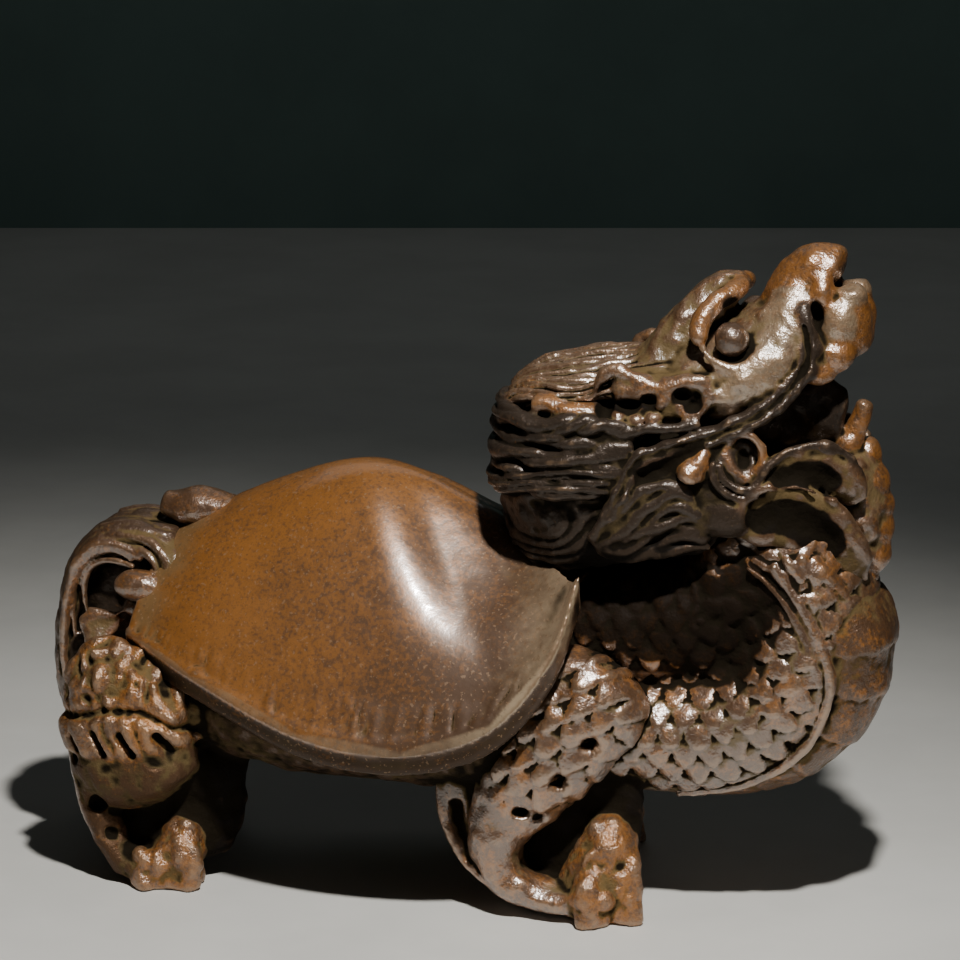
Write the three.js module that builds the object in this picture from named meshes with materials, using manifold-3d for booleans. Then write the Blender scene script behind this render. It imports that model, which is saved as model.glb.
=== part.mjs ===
// A small cast bronze dragon turtle: a smooth turtle's shell on four bent legs, a scaled neck that
// swings up from the chest, a horned dragon's head with an open mouth, and a curled tail.
// Everything is one casting, so every form below is joined into a single solid.
import * as THREE from "three";
import { mergeVertices } from "three/addons/utils/BufferGeometryUtils.js";
import Module from "manifold-3d";

// Driving sizes, in millimetres. The pose, the proportions and the carving are shares of LENGTH:
// the rows below are written for a figure of DRAWN_LENGTH, and UNIT turns them into real sizes.
const LENGTH = 74;
const DRAWN_LENGTH = 74.25;
const UNIT = LENGTH / DRAWN_LENGTH;
const SHELL_EDGE = 2.8; // height of the wall under the shell's sharp rim
const SHELL_TUCK = 0.7; // how far that wall leans in under the rim
const SHELL_WALL = 1.2; // least thickness of the shell's solid
const SCALE_RELIEF = 0.45; // how far a scale stands above the neck
const PLATE_RELIEF = 0.4; // how far a plate stands above the groove beside it
const HAIR_DEPTH = 0.5; // how deep the grooves between two locks of hair are
const LOCK_DEPTH = 0.6; // the same between the locks on a haunch
const EYE_RADIUS = 1.6;
const STRIDE = 4; // how far the left legs stand behind the right ones
const CAP_BULGE = 0.8; // length of a limb's round end, as a share of its half thickness
const LONGEST_CAP = 0.3; // and at most this share of the whole limb

// The right side of the figure is on the low side of Y.
const RIGHT = -1;
const LEFT = 1;
const ACROSS = new THREE.Vector3(0, 1, 0);
const FORWARD = new THREE.Vector3(1, 0, 0);

const wasm = await Module();
wasm.setup();

// A closed geometry as a solid that can be joined and cut, mirrored for the right side.
function solid(geometry, side = LEFT) {
  const bare = geometry.clone();
  for (const name of Object.keys(bare.attributes)) {
    if (name !== "position") bare.deleteAttribute(name);
  }
  bare.scale(1, side, 1);
  const merged = mergeVertices(bare, 1e-4);
  const triangles = new Uint32Array(merged.index.array);
  if (side === RIGHT) triangles.reverse();
  return new wasm.Manifold(
    new wasm.Mesh({
      numProp: 3,
      vertProperties: new Float32Array(merged.attributes.position.array),
      triVerts: triangles,
    }),
  );
}

// A geometry from points and triangles.
function geometryFrom(points, triangles) {
  const geometry = new THREE.BufferGeometry().setFromPoints(points);
  geometry.setIndex(triangles);
  return geometry;
}

// Closed skin over rings of points with a pole beyond the first and the last ring. Each ring runs
// anticlockwise as seen from the end of the path. The squares between the rings are split by turns
// along one diagonal and the other, so that every second point can stand up as a stud.
function skin(rings, firstPole, lastPole) {
  const sides = rings[0].length;
  const points = [...rings.flat(), firstPole, lastPole];
  const first = points.length - 2;
  const last = points.length - 1;
  const triangles = [];
  for (let ring = 0; ring < rings.length - 1; ring++) {
    for (let side = 0; side < sides; side++) {
      const here = ring * sides + side;
      const next = ring * sides + ((side + 1) % sides);
      if ((ring + side) % 2 === 0) {
        triangles.push(here, next, here + sides);
        triangles.push(next, next + sides, here + sides);
      } else {
        triangles.push(here, next, next + sides);
        triangles.push(here, next + sides, here + sides);
      }
    }
  }
  const end = (rings.length - 1) * sides;
  for (let side = 0; side < sides; side++) {
    const next = (side + 1) % sides;
    triangles.push(first, next, side);
    triangles.push(last, end + side, end + next);
  }
  return geometryFrom(points, triangles);
}

// Closed slab between two grids of points of the same size, the upper one first.
function slab(upper, lower) {
  const rows = upper.length;
  const columns = upper[0].length;
  const points = [...upper.flat(), ...lower.flat()];
  const under = rows * columns;
  const at = (row, column) => row * columns + column;
  const triangles = [];
  const quad = (a, b, c, d) => triangles.push(a, b, c, a, c, d);
  for (let r = 0; r < rows - 1; r++) {
    for (let c = 0; c < columns - 1; c++) {
      const [a, b] = [at(r, c), at(r + 1, c)];
      const [d, e] = [at(r + 1, c + 1), at(r, c + 1)];
      quad(a, b, d, e);
      quad(under + e, under + d, under + b, under + a);
    }
  }
  for (let r = 0; r < rows - 1; r++) {
    const last = columns - 1;
    quad(at(r + 1, 0), at(r, 0), under + at(r, 0), under + at(r + 1, 0));
    quad(at(r, last), at(r + 1, last), under + at(r + 1, last), under + at(r, last));
  }
  for (let c = 0; c < columns - 1; c++) {
    const last = rows - 1;
    quad(at(0, c), at(0, c + 1), under + at(0, c + 1), under + at(0, c));
    quad(at(last, c + 1), at(last, c), under + at(last, c), under + at(last, c + 1));
  }
  return geometryFrom(points, triangles);
}

// A limb: an oval carried along a smooth path and rounded off at both ends. Each row is
// [x, out, z, half width, half height], where out is the distance from the middle plane, the
// width is measured along `across`, and the height square to both the path and the width.
function limb(rows, options = {}) {
  const { sides = 8, rings = 6, round = 2, cap = CAP_BULGE } = options;
  const { across = ACROSS, square = 2, relief = () => 0 } = options;
  const curve = (toVector) =>
    new THREE.CatmullRomCurve3(
      rows.map((row) => toVector(row).multiplyScalar(UNIT)),
      false,
      "catmullrom",
    );
  const path = curve(([x, out, z]) => new THREE.Vector3(x, out, z));
  const girth = curve(([, , , width, height]) => new THREE.Vector3(width, height, 0));
  const length = path.getLength();
  const capShare = (t) => {
    const end = girth.getPoint(t);
    return Math.min(LONGEST_CAP, (cap * Math.min(end.x, end.y)) / length);
  };
  const [startCap, endCap] = [capShare(0), capShare(1)];
  const stations = [];
  for (let i = 1; i <= round; i++) {
    const angle = (Math.PI / 2) * (i / round);
    stations.push({ t: startCap * (1 - Math.cos(angle)), closing: Math.sin(angle) });
  }
  for (let i = 1; i < rings; i++) {
    stations.push({ t: startCap + (1 - startCap - endCap) * (i / rings), closing: 1 });
  }
  for (let i = round; i >= 1; i--) {
    const angle = (Math.PI / 2) * (i / round);
    stations.push({ t: 1 - endCap * (1 - Math.cos(angle)), closing: Math.sin(angle) });
  }
  const bulge = (value) => Math.sign(value) * Math.abs(value) ** (2 / square);
  const skinRings = stations.map(({ t, closing }, ring) => {
    const along = path.getTangent(t);
    const height = along.clone().cross(across).normalize();
    const width = height.clone().cross(along).normalize();
    const size = girth.getPoint(t);
    return Array.from({ length: sides }, (_, index) => {
      const angle = (2 * Math.PI * index) / sides;
      const raised = relief({ t, ring, index }) * UNIT;
      return path
        .getPoint(t)
        .addScaledVector(width, bulge(Math.cos(angle)) * (size.x + raised) * closing)
        .addScaledVector(height, bulge(Math.sin(angle)) * (size.y + raised) * closing);
    });
  });
  return skin(skinRings, path.getPoint(0), path.getPoint(1));
}

// A round boss at [x, out, z].
function ball([x, out, z], radius, sides) {
  const geometry = new THREE.SphereGeometry(radius * UNIT, sides, Math.ceil(sides * 0.6));
  geometry.rotateX(Math.PI / 2);
  geometry.translate(x * UNIT, out * UNIT, z * UNIT);
  return geometry;
}

// The same form on the right and on the left of the figure.
function pair(geometry) {
  return [solid(geometry, RIGHT), solid(geometry, LEFT)];
}

// Value at t, from 0 to 1, of a smooth curve through the numbers.
function through(numbers, t) {
  const curve = new THREE.CatmullRomCurve3(
    numbers.map((value) => new THREE.Vector3(value, 0, 0)),
    false,
    "catmullrom",
  );
  return curve.getPoint(t).x;
}

// The shell. Its ridge runs from the tail to the neck, and its rim hangs in an arc between a
// pointed rear corner and a pointed front corner. Rows are [x, out, z] from the tail forward.
const SHELL_RIDGE = [
  [-26.5, 0, 29.4],
  [-20.3, 0, 33.1],
  [-11.3, 0, 36.3],
  [-5, 0, 35.6],
  [2.2, 0, 32.4],
];
const SHELL_RIM = [
  [-29.2, 8.4, 21.6],
  [-22, 12.6, 19.2],
  [-11.5, 15.8, 15.6],
  [-2.5, 16.6, 15],
  [5, 16, 17.6],
  [9.6, 13.6, 23.4],
  [11.4, 10.6, 30],
];
const SHELL_ROWS = 12;
const SHELL_COLUMNS = 14; // from rim to rim
const SHELL_FLOOR = 17; // level, in the body, that the shell's solid reaches down to
const SHELL_FLARE = 0.3; // share of a bell's flare in the dome's section
const SHELL_FULLNESS = 0.8; // power that fills out the dome's shoulders
const SHELL_EDGE_START = 0.55; // share of the half width where the wall begins to turn down

function shellRow(rows, t) {
  return [0, 1, 2].map((axis) => through(rows.map((row) => row[axis]), t));
}

function shell() {
  const upper = [];
  const lower = [];
  for (let r = 0; r < SHELL_ROWS; r++) {
    const t = r / (SHELL_ROWS - 1);
    const [ridgeX, , ridgeZ] = shellRow(SHELL_RIDGE, t);
    const [rimX, rimOut, rimZ] = shellRow(SHELL_RIM, t);
    const top = [];
    const bottom = [];
    for (let c = 0; c <= SHELL_COLUMNS; c++) {
      const across = -Math.cos((Math.PI * c) / SHELL_COLUMNS); // -1 at one rim, 1 at the other
      const out = Math.abs(across);
      const dome = (1 - out ** 2) ** SHELL_FULLNESS;
      const bell = 0.5 + 0.5 * Math.cos(Math.PI * out);
      const rise = (1 - SHELL_FLARE) * dome + SHELL_FLARE * bell;
      const x = ridgeX + (rimX - ridgeX) * out;
      const z = rimZ + (ridgeZ - rimZ) * rise;
      const edge = THREE.MathUtils.smoothstep(out, SHELL_EDGE_START, 1);
      const wallZ = THREE.MathUtils.lerp(SHELL_FLOOR, rimZ - SHELL_EDGE, edge);
      const inward = 1 - (SHELL_TUCK / rimOut) * edge;
      const under = Math.min(wallZ, z - SHELL_WALL);
      top.push(new THREE.Vector3(x, across * rimOut, z).multiplyScalar(UNIT));
      bottom.push(new THREE.Vector3(x, across * rimOut * inward, under).multiplyScalar(UNIT));
    }
    upper.push(top);
    lower.push(bottom);
  }
  return solid(slab(upper, lower));
}

// The body between the legs, and the neck that rises from the chest in a swan's bend. The crop
// fills the bend under the beard, and broad plates cover the throat.
const BODY = [
  [-28, 0, 21, 5, 5],
  [-24, 0, 19.5, 9.5, 8],
  [-14, 0, 18.4, 12.3, 9],
  [0, 0, 18.2, 12.6, 9],
  [9, 0, 18, 11, 8.4],
  [14, 0, 17, 9, 7.4],
];
const NECK = [
  [8, 0, 16.4, 9.4, 6.8],
  [14.5, 0, 15.3, 9.2, 5.9],
  [21.5, 0, 15.6, 8.8, 6.1],
  [26.8, 0, 18.6, 8.4, 6.3],
  [29, 0, 23.8, 7.9, 6.1],
  [28.4, 0, 29.4, 6.8, 5.4],
  [25.8, 0, 34, 6, 5],
];
const CROP = [
  [7, 0, 24.5, 8, 5.6],
  [15, 0, 24, 8.2, 6.4],
  [22, 0, 26.4, 7.8, 6.4],
  [24.6, 0, 31.6, 6.8, 5.8],
  [24.4, 0, 36, 5.6, 4.6],
];
const THROAT_PLATES = [
  [17.4, 0, 14.2, 5.4, 4.8],
  [23.6, 0, 15.2, 5.6, 5.8],
  [28.2, 0, 18.4, 5.6, 6.2],
  [30.3, 0, 23.6, 5.4, 5.8],
  [30, 0, 28.8, 5, 5.2],
];

function trunk() {
  const scales = ({ t, ring, index }) =>
    ((ring + index) % 2 === 0 ? SCALE_RELIEF : 0) * Math.sin(Math.PI * t);
  const plates = ({ ring }) => (ring % 2 === 0 ? PLATE_RELIEF : 0);
  return [
    solid(limb(BODY, { sides: 12, rings: 5, round: 1, square: 2.6 })),
    solid(limb(NECK, { sides: 14, rings: 15, round: 1, relief: scales })),
    solid(limb(CROP, { sides: 8, rings: 5, round: 1 })),
    solid(limb(THROAT_PLATES, { sides: 6, rings: 13, round: 1, square: 2.4, relief: plates })),
  ];
}

// The front leg drops from the shoulder to an elbow behind it, and comes forward along the floor
// to a raised paw. A fin stands behind the arm, and a web closes the bend from the inside.
const FRONT_ARM = [
  [13.4, 6.4, 21.6, 3.8, 5],
  [11.4, 8.2, 18.4, 3.8, 4.9],
  [8.4, 9, 14.2, 3.5, 4.3],
  [5.4, 9.4, 9.8, 3, 3.5],
  [4.1, 9.6, 5.8, 2.6, 2.4],
  [5.6, 9.6, 2.8, 2.6, 1.7],
  [9.4, 9.4, 1.6, 2.6, 1.5],
  [12.4, 9.2, 1.8, 2.6, 1.6],
];
const ARM_FIN = [
  [1.8, 9, 13.6, 1, 2.4],
  [1.3, 9.2, 9.6, 1, 2.4],
  [2.4, 9.4, 6, 1, 2.2],
  [5, 9.6, 2.8, 1.1, 1.6],
];
const ARM_WEB = [
  [10.4, 6, 16, 2, 5.4],
  [10.3, 6.4, 9, 1.8, 5.7],
  [10.7, 7, 1.4, 1.8, 5],
];
const FRONT_HAND = [
  [12.9, 7.4, 8.6, 2, 1.7],
  [13.2, 8, 6, 2.8, 2.6],
  [12.8, 8.6, 2.2, 3.2, 3.7],
  [12.8, 8.8, -1, 3.2, 3.7],
];
const FRONT_TOES = [
  [
    [12.6, 9.6, 4.2, 1.7, 1.8],
    [12.4, 11, 2.4, 1.7, 1.9],
    [12.6, 11.2, -0.8, 1.4, 1.6],
  ],
  [
    [14.6, 8.4, 5.6, 1.6, 1.5],
    [15.2, 9.8, 4, 1.7, 1.6],
    [15.5, 10.2, -0.8, 1.5, 1.4],
  ],
];
const ARM_HOLES = [
  [11, 12, 15.6],
  [9.2, 12.6, 12],
  [6.2, 12.6, 8.8],
];
const ARM_HOLE_RADIUS = 1;

// A leg of one side. The figure walks, so its left legs stand behind the right ones.
function leg(forms, side) {
  return forms.map((form) => {
    const placed = form.clone();
    if (side === LEFT) placed.translate(-STRIDE * UNIT, 0, 0);
    return solid(placed, side);
  });
}

function frontLeg(side) {
  const forms = [
    limb(FRONT_ARM, { sides: 8, rings: 9, round: 1 }),
    limb(ARM_FIN, { sides: 6, rings: 4, round: 1 }),
    limb(ARM_WEB, { sides: 6, rings: 3, round: 1 }),
    limb(FRONT_HAND, { sides: 7, rings: 2, round: 1 }),
    ...FRONT_TOES.map((toe) => limb(toe, { sides: 6, rings: 2, round: 1, across: FORWARD })),
  ];
  return leg(forms, side);
}

// The rear leg is a folded haunch over a heel, with a paw held forward under it. Locks of hair
// part the haunch, and its inner side closes the bend.
const HAUNCH = [
  [-27.4, 7, 20, 3, 3.4],
  [-28.4, 8, 17.4, 4.2, 5.6],
  [-28.2, 8.4, 13, 4.6, 6.1],
  [-27.4, 8.8, 9, 4.2, 5.1],
  [-26.6, 9, 6.6, 2.8, 3.2],
];
const HEEL = [
  [-33, 9, 12, 1.8, 1.4],
  [-31.6, 9.4, 8.4, 2, 1.5],
  [-30.8, 9.6, 5, 2, 1.5],
  [-29.2, 9.8, 2.2, 2.2, 1.4],
  [-26.6, 10, 1.4, 2.2, 1.5],
];
const SHIN = [
  [-25.8, 6, 12, 3, 6.4],
  [-25.3, 6.4, 7, 2.8, 6.2],
  [-26, 7.4, 1.4, 2.8, 4.8],
];
const REAR_PAW = [
  [-23.4, 8.4, 5, 2.2, 1.6],
  [-24, 9.2, 3.6, 2.6, 2.4],
  [-24.7, 9.8, 1.4, 2.6, 2.9],
  [-24.8, 9.8, -1, 2.6, 2.9],
];
const REAR_TOES = [
  [
    [-26, 10.6, 3.2, 1.5, 1.5],
    [-26.4, 11.8, 1.8, 1.4, 1.4],
    [-26.4, 11.8, -0.8, 1.4, 1.3],
  ],
  [
    [-23.6, 10, 4, 1.5, 1.4],
    [-23.2, 11.2, 2.4, 1.4, 1.4],
    [-23.2, 11.4, -0.8, 1.4, 1.3],
  ],
];
const HAUNCH_LOCKS = 6; // locks of hair round each haunch
const LOCK_END = 0.6; // how far down the haunch they reach

function rearLeg(side) {
  const locks = ({ t, index }) => (index % 2 === 0 && t < LOCK_END ? -LOCK_DEPTH : 0);
  const forms = [
    limb(HAUNCH, { sides: 2 * HAUNCH_LOCKS, rings: 6, round: 1, square: 2.4, relief: locks }),
    limb(HEEL, { sides: 5, rings: 6, round: 1 }),
    limb(SHIN, { sides: 8, rings: 2, round: 1 }),
    limb(REAR_PAW, { sides: 7, rings: 2, round: 1 }),
    ...REAR_TOES.map((toe) => limb(toe, { sides: 6, rings: 2, round: 1, across: FORWARD })),
  ];
  return leg(forms, side);
}

// The tail rises behind the haunches, rolls over like a breaking wave and ends on the shell.
// Smaller curls, each round a knob, stand beside it over a thin wall.
const TAIL_WAVE = [
  [-35.8, 0, 11, 3, 1.2],
  [-36.7, 0, 16, 3.4, 1.2],
  [-36.4, 0, 21.6, 3.6, 1.2],
  [-35.2, 0, 25.6, 3.8, 1.4],
  [-33, 0, 28, 4, 1.6],
  [-29.6, 0, 28.6, 4, 1.7],
  [-26, 0, 28, 3.8, 1.8],
];
const TAIL_WALL = [
  [-33.2, 0, 12, 2.6, 3.6],
  [-33.2, 0, 19, 2, 3.8],
  [-31.2, 0, 24.2, 1.8, 4],
  [-27, 0, 26, 2.4, 3],
];
const TAIL_BUD = [
  [-23.6, 0, 30.8, 1.8, 1.3],
  [-25.6, 0, 31.4, 2, 1.6],
  [-28.6, 0, 31.6, 1.1, 0.9],
];
const TAIL_CURL = [
  [-34.8, 3.4, 20.6, 0.9, 0.8],
  [-34.9, 3.8, 23.8, 1, 0.9],
  [-33.2, 4.2, 26.2, 1.1, 1],
  [-30.4, 4.4, 27, 1.2, 1],
  [-27.6, 4.8, 26.4, 1.2, 1.1],
];
const TAIL_KNOB = [
  [-26.6, 5, 25.2, 1.4, 1.4],
  [-28.6, 5, 25.4, 1.8, 1.8],
  [-30.2, 5.2, 24.8, 1, 1],
];
const TAIL_FLAME = [
  [-30.8, 6.2, 17.6, 1.3, 1.2],
  [-32.6, 5.4, 19.2, 1.5, 1.3],
  [-34.2, 4.6, 21, 1, 0.9],
  [-32.4, 4.4, 22, 0.9, 0.7],
  [-30.4, 4.5, 22.4, 0.4, 0.4],
];

function tail() {
  return [
    solid(limb(TAIL_WAVE, { sides: 8, rings: 8, round: 1, square: 3 })),
    solid(limb(TAIL_WALL, { sides: 6, rings: 4, round: 1 })),
    solid(limb(TAIL_BUD, { sides: 6, rings: 3 })),
    ...pair(limb(TAIL_CURL, { sides: 5, rings: 7, round: 1 })),
    ...pair(limb(TAIL_KNOB, { sides: 6, rings: 2, round: 1 })),
    ...pair(limb(TAIL_FLAME, { sides: 5, rings: 6, round: 1 })),
  ];
}

// The head looks up along a slope. A crest stands over the brow, and the muzzle turns up.
const SKULL = [
  [8, 0, 38, 7, 6],
  [14, 0, 40.8, 7.2, 6],
  [19.5, 0, 44.2, 6.8, 5.4],
  [24, 0, 47.2, 5.2, 4.2],
  [28, 0, 49.8, 4.2, 3.4],
  [30.2, 0, 51.2, 3.4, 3],
];
const CREST = [
  [12.6, 0, 43.4, 5, 1.9],
  [16.6, 0, 47.4, 4.4, 1.9],
  [19.4, 0, 50.4, 3.8, 1.8],
  [21.5, 0, 52.3, 3, 1.5],
  [22.9, 0, 52.4, 2.3, 1.1],
];
const NOSE = [
  [26, 0, 48.6, 3.4, 3],
  [27.8, 0, 51.8, 3, 2.6],
  [28.9, 0, 54.2, 2.7, 2.2],
  [30.4, 0, 55.2, 2.3, 1.3],
  [31.2, 0, 55.2, 1.9, 1],
];
const FRONT_LIP = [
  [29.6, 0, 48.2, 3.4, 2.2],
  [31.2, 0, 50, 3.2, 2.1],
  [31.8, 0, 52.4, 2.4, 1.5],
];
const NOSTRIL = [30.6, 2.8, 53.8];
const NOSTRIL_RADIUS = 0.8;
const MUZZLE = [
  [20.6, 5.4, 45.4, 2, 2.2],
  [24.2, 4.8, 46.8, 2, 2],
  [26.6, 3.8, 48.6, 1.6, 1.8],
  [27.2, 3, 51, 1.4, 1.6],
];
const EYE = [23, 5.6, 49.6];
const EYE_RING = [
  [23.3, 1.6, 53.2, 0.8, 0.7],
  [22.2, 3.8, 52.8, 0.8, 0.7],
  [21.1, 5.4, 51.2, 0.8, 0.7],
  [21.4, 6.2, 48.6, 0.8, 0.7],
  [23.2, 6, 47.2, 0.8, 0.7],
  [24.9, 5.4, 48.2, 0.6, 0.6],
];
const HORN = [
  [18, 6.4, 44, 1.2, 1.1],
  [14, 7.4, 43.6, 1.1, 1],
  [10.4, 7.6, 43.6, 1, 0.9],
  [6.8, 7.2, 43.6, 0.8, 0.7],
];
const EAR = [
  [12.6, 7.2, 43.4, 0.7, 0.7],
  [12.4, 7.4, 45.8, 0.7, 0.8],
  [14, 7.2, 46.4, 0.7, 0.8],
  [17.4, 7, 44.6, 0.7, 0.8],
];
const TEMPLE_CURL = [
  [17.8, 6.4, 45, 0.9, 0.7],
  [19.6, 6.4, 45.8, 0.9, 0.7],
  [21, 6.2, 44.6, 0.9, 0.7],
  [19.2, 6.8, 43.4, 0.9, 0.7],
];
// The lip runs from the muzzle to the corner of the mouth and on, as a cord that parts the mane
// from the beard.
const LIP = [
  [28.1, 3.8, 52.6, 0.7, 0.7],
  [28.6, 4.2, 49.4, 0.8, 0.7],
  [27.9, 4.7, 46.4, 0.9, 0.8],
  [24.2, 6, 43.4, 0.9, 0.8],
  [19.4, 7.4, 41.4, 0.9, 0.8],
  [15.6, 8.5, 39, 0.9, 0.8],
  [13.4, 9, 35.6, 0.8, 0.8],
  [11.6, 8.8, 32.4, 0.6, 0.6],
];
const MANE = [
  [11.6, 0, 29.4, 6.8, 6.4],
  [11.2, 0, 32.2, 8.6, 8.2],
  [11.2, 0, 37, 9, 8.9],
  [11, 0, 41.6, 8.9, 8.9],
  [10.4, 0, 45.2, 7.8, 8],
];
const MANE_CAP = 0.2; // the mane is cut almost flat above and below
const BEARD = [
  [22.8, 6.6, 35.2, 1.4, 1.6],
  [20, 7.2, 34.8, 2, 2.6],
  [16.6, 7.8, 33.8, 2, 2.6],
  [13.6, 8, 32.4, 1.4, 1.5],
  [11.6, 8, 32, 0.8, 0.6],
];
// The mouth stands open round a wall that holds the tongue, whose tip curls up in front.
const MOUTH_WALL = [
  [21, 0, 41.4, 4.2, 3.6],
  [26.6, 0, 42.4, 3, 3.8],
  [30, 0, 42.6, 2, 3],
  [32, 0, 42, 1.5, 1.9],
];
const TONGUE_TIP = [
  [31.4, 0, 39.2, 1.6, 1.2],
  [32.4, 0, 41.6, 1.2, 0.9],
  [33.2, 0, 43.8, 0.9, 0.7],
];
const JAW = [
  [18, 0, 36, 7.4, 4.2],
  [23, 0, 36.6, 7.4, 3.6],
  [27, 0, 37.2, 6.4, 2.8],
  [30.6, 0, 37.2, 5, 2.6],
  [33, 0, 35.6, 3.4, 2.2],
];
const JAW_LIP = [
  [25.8, 7, 38.1, 0.7, 0.7],
  [27.4, 6.4, 40.2, 0.7, 0.7],
  [30, 5.2, 40.8, 0.7, 0.7],
  [32.3, 3.9, 39.5, 0.7, 0.7],
  [33.3, 3, 37.4, 0.7, 0.7],
];
const THROAT_ARC = [
  [25.6, 7, 34, 0.9, 1.1],
  [26.8, 7, 36, 0.9, 1.1],
  [28.8, 6.6, 36.9, 0.9, 1.1],
  [31, 5.6, 36, 0.9, 1.1],
  [32.6, 4.4, 33, 0.9, 1.1],
  [33.8, 3, 29.4, 0.7, 0.8],
];
const CHIN = [
  [32.4, 0, 38, 2.6, 1.6],
  [33, 0, 35.4, 3, 1.7],
  [33.8, 0, 32.6, 3, 2.1],
  [33.8, 0, 28.8, 1.4, 1],
];
const CHEEK_KNOB = [
  [17.6, 6.6, 36.8, 1, 0.9],
  [19.8, 7.6, 38.5, 1.4, 1.3],
  [21.4, 7, 40.2, 0.8, 0.7],
];
const MOUTH_RING = [
  [23.4, 7.2, 41.6, 0.6, 0.6],
  [25.6, 6.8, 41, 0.7, 0.6],
  [25.4, 7, 38.6, 0.7, 0.6],
  [23.4, 7.4, 38, 0.7, 0.6],
];

function head() {
  const maneLocks = ({ ring }) => (ring % 2 === 0 ? 0 : -HAIR_DEPTH);
  const beardLocks = ({ index }) => (index % 2 === 0 ? 0 : -HAIR_DEPTH);
  return [
    solid(limb(SKULL, { sides: 8, rings: 5, round: 1 })),
    solid(limb(CREST, { sides: 8, rings: 4, round: 1, square: 2.6 })),
    solid(limb(NOSE, { sides: 8, rings: 4, round: 1 })),
    solid(limb(FRONT_LIP, { sides: 7, rings: 2, round: 1 })),
    solid(limb(MANE, { sides: 12, rings: 11, round: 1, cap: MANE_CAP, square: 2.3, relief: maneLocks })),
    solid(limb(MOUTH_WALL, { sides: 6, rings: 3, round: 1 })),
    solid(limb(TONGUE_TIP, { sides: 5, rings: 3, round: 1 })),
    solid(limb(JAW, { sides: 8, rings: 4, round: 1 })),
    solid(limb(CHIN, { sides: 7, rings: 4, round: 1 })),
    ...pair(limb(MUZZLE, { sides: 6, rings: 3, round: 1 })),
    ...pair(ball(EYE, EYE_RADIUS, 7)),
    ...pair(limb(EYE_RING, { sides: 4, rings: 7, round: 1 })),
    ...pair(limb(HORN, { sides: 5, rings: 3, round: 1 })),
    ...pair(limb(EAR, { sides: 4, rings: 6, round: 1 })),
    ...pair(limb(TEMPLE_CURL, { sides: 4, rings: 5, round: 1 })),
    ...pair(limb(LIP, { sides: 4, rings: 9, round: 1 })),
    ...pair(limb(BEARD, { sides: 8, rings: 4, round: 1, relief: beardLocks })),
    ...pair(limb(JAW_LIP, { sides: 4, rings: 5, round: 1 })),
    ...pair(limb(THROAT_ARC, { sides: 4, rings: 6, round: 1 })),
    ...pair(limb(CHEEK_KNOB, { sides: 6, rings: 2, round: 1 })),
    ...pair(limb(MOUTH_RING, { sides: 4, rings: 5, round: 1 })),
  ];
}

// What the carver took away: three holes in each arm and the nostrils.
function hollows() {
  return [
    ...ARM_HOLES.map((centre) => solid(ball(centre, ARM_HOLE_RADIUS, 6), RIGHT)),
    ...pair(ball(NOSTRIL, NOSTRIL_RADIUS, 6)),
  ];
}

const forms = [
  shell(),
  ...trunk(),
  ...frontLeg(RIGHT),
  ...frontLeg(LEFT),
  ...rearLeg(RIGHT),
  ...rearLeg(LEFT),
  ...tail(),
  ...head(),
];
let casting = forms[0];
for (const form of forms.slice(1)) {
  casting = casting.add(form);
}
for (const hollow of hollows()) {
  casting = casting.subtract(hollow);
}
// The floor cuts the paws flat.
const belowFloor = new THREE.BoxGeometry(2 * LENGTH, LENGTH, LENGTH);
belowFloor.translate(0, 0, -LENGTH / 2);
casting = casting.subtract(solid(belowFloor));

// A solid as a mesh with its origin on the floor, under the middle of its length and width.
function meshOf(made, name, material) {
  const { min, max } = made.boundingBox();
  const origin = [-(min[0] + max[0]) / 2, -(min[1] + max[1]) / 2, -min[2]];
  const { numProp, numVert, vertProperties, triVerts } = made.getMesh();
  const positions = new Float32Array(numVert * 3);
  for (let i = 0; i < numVert; i++) {
    positions.set(vertProperties.subarray(i * numProp, i * numProp + 3), i * 3);
  }
  const geometry = new THREE.BufferGeometry();
  geometry.setAttribute("position", new THREE.BufferAttribute(positions, 3));
  geometry.setIndex(new THREE.BufferAttribute(new Uint32Array(triVerts), 1));
  geometry.translate(...origin);
  geometry.computeVertexNormals();
  const mesh = new THREE.Mesh(geometry, material);
  mesh.name = name;
  return mesh;
}

const bronze = new THREE.MeshStandardMaterial({
  name: "brown bronze",
  color: new THREE.Color(0.29, 0.14, 0.07),
  roughness: 0.42,
  metalness: 0.75,
  flatShading: true,
});

const dragonTurtle = new THREE.Group();
dragonTurtle.add(meshOf(casting, "dragon_turtle", bronze));

export default dragonTurtle;
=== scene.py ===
"""A small cast bronze dragon turtle on a pale floor.

The figure is one casting. Its forms are ovals carried along paths, drawn in millimetres and worked
out as whole arrays. They are melted together in a box of cells that hold distances, and the skin
is then taken off that box, so neighbouring forms meet in the soft corners of a casting.
"""
import functools
import math

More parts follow.
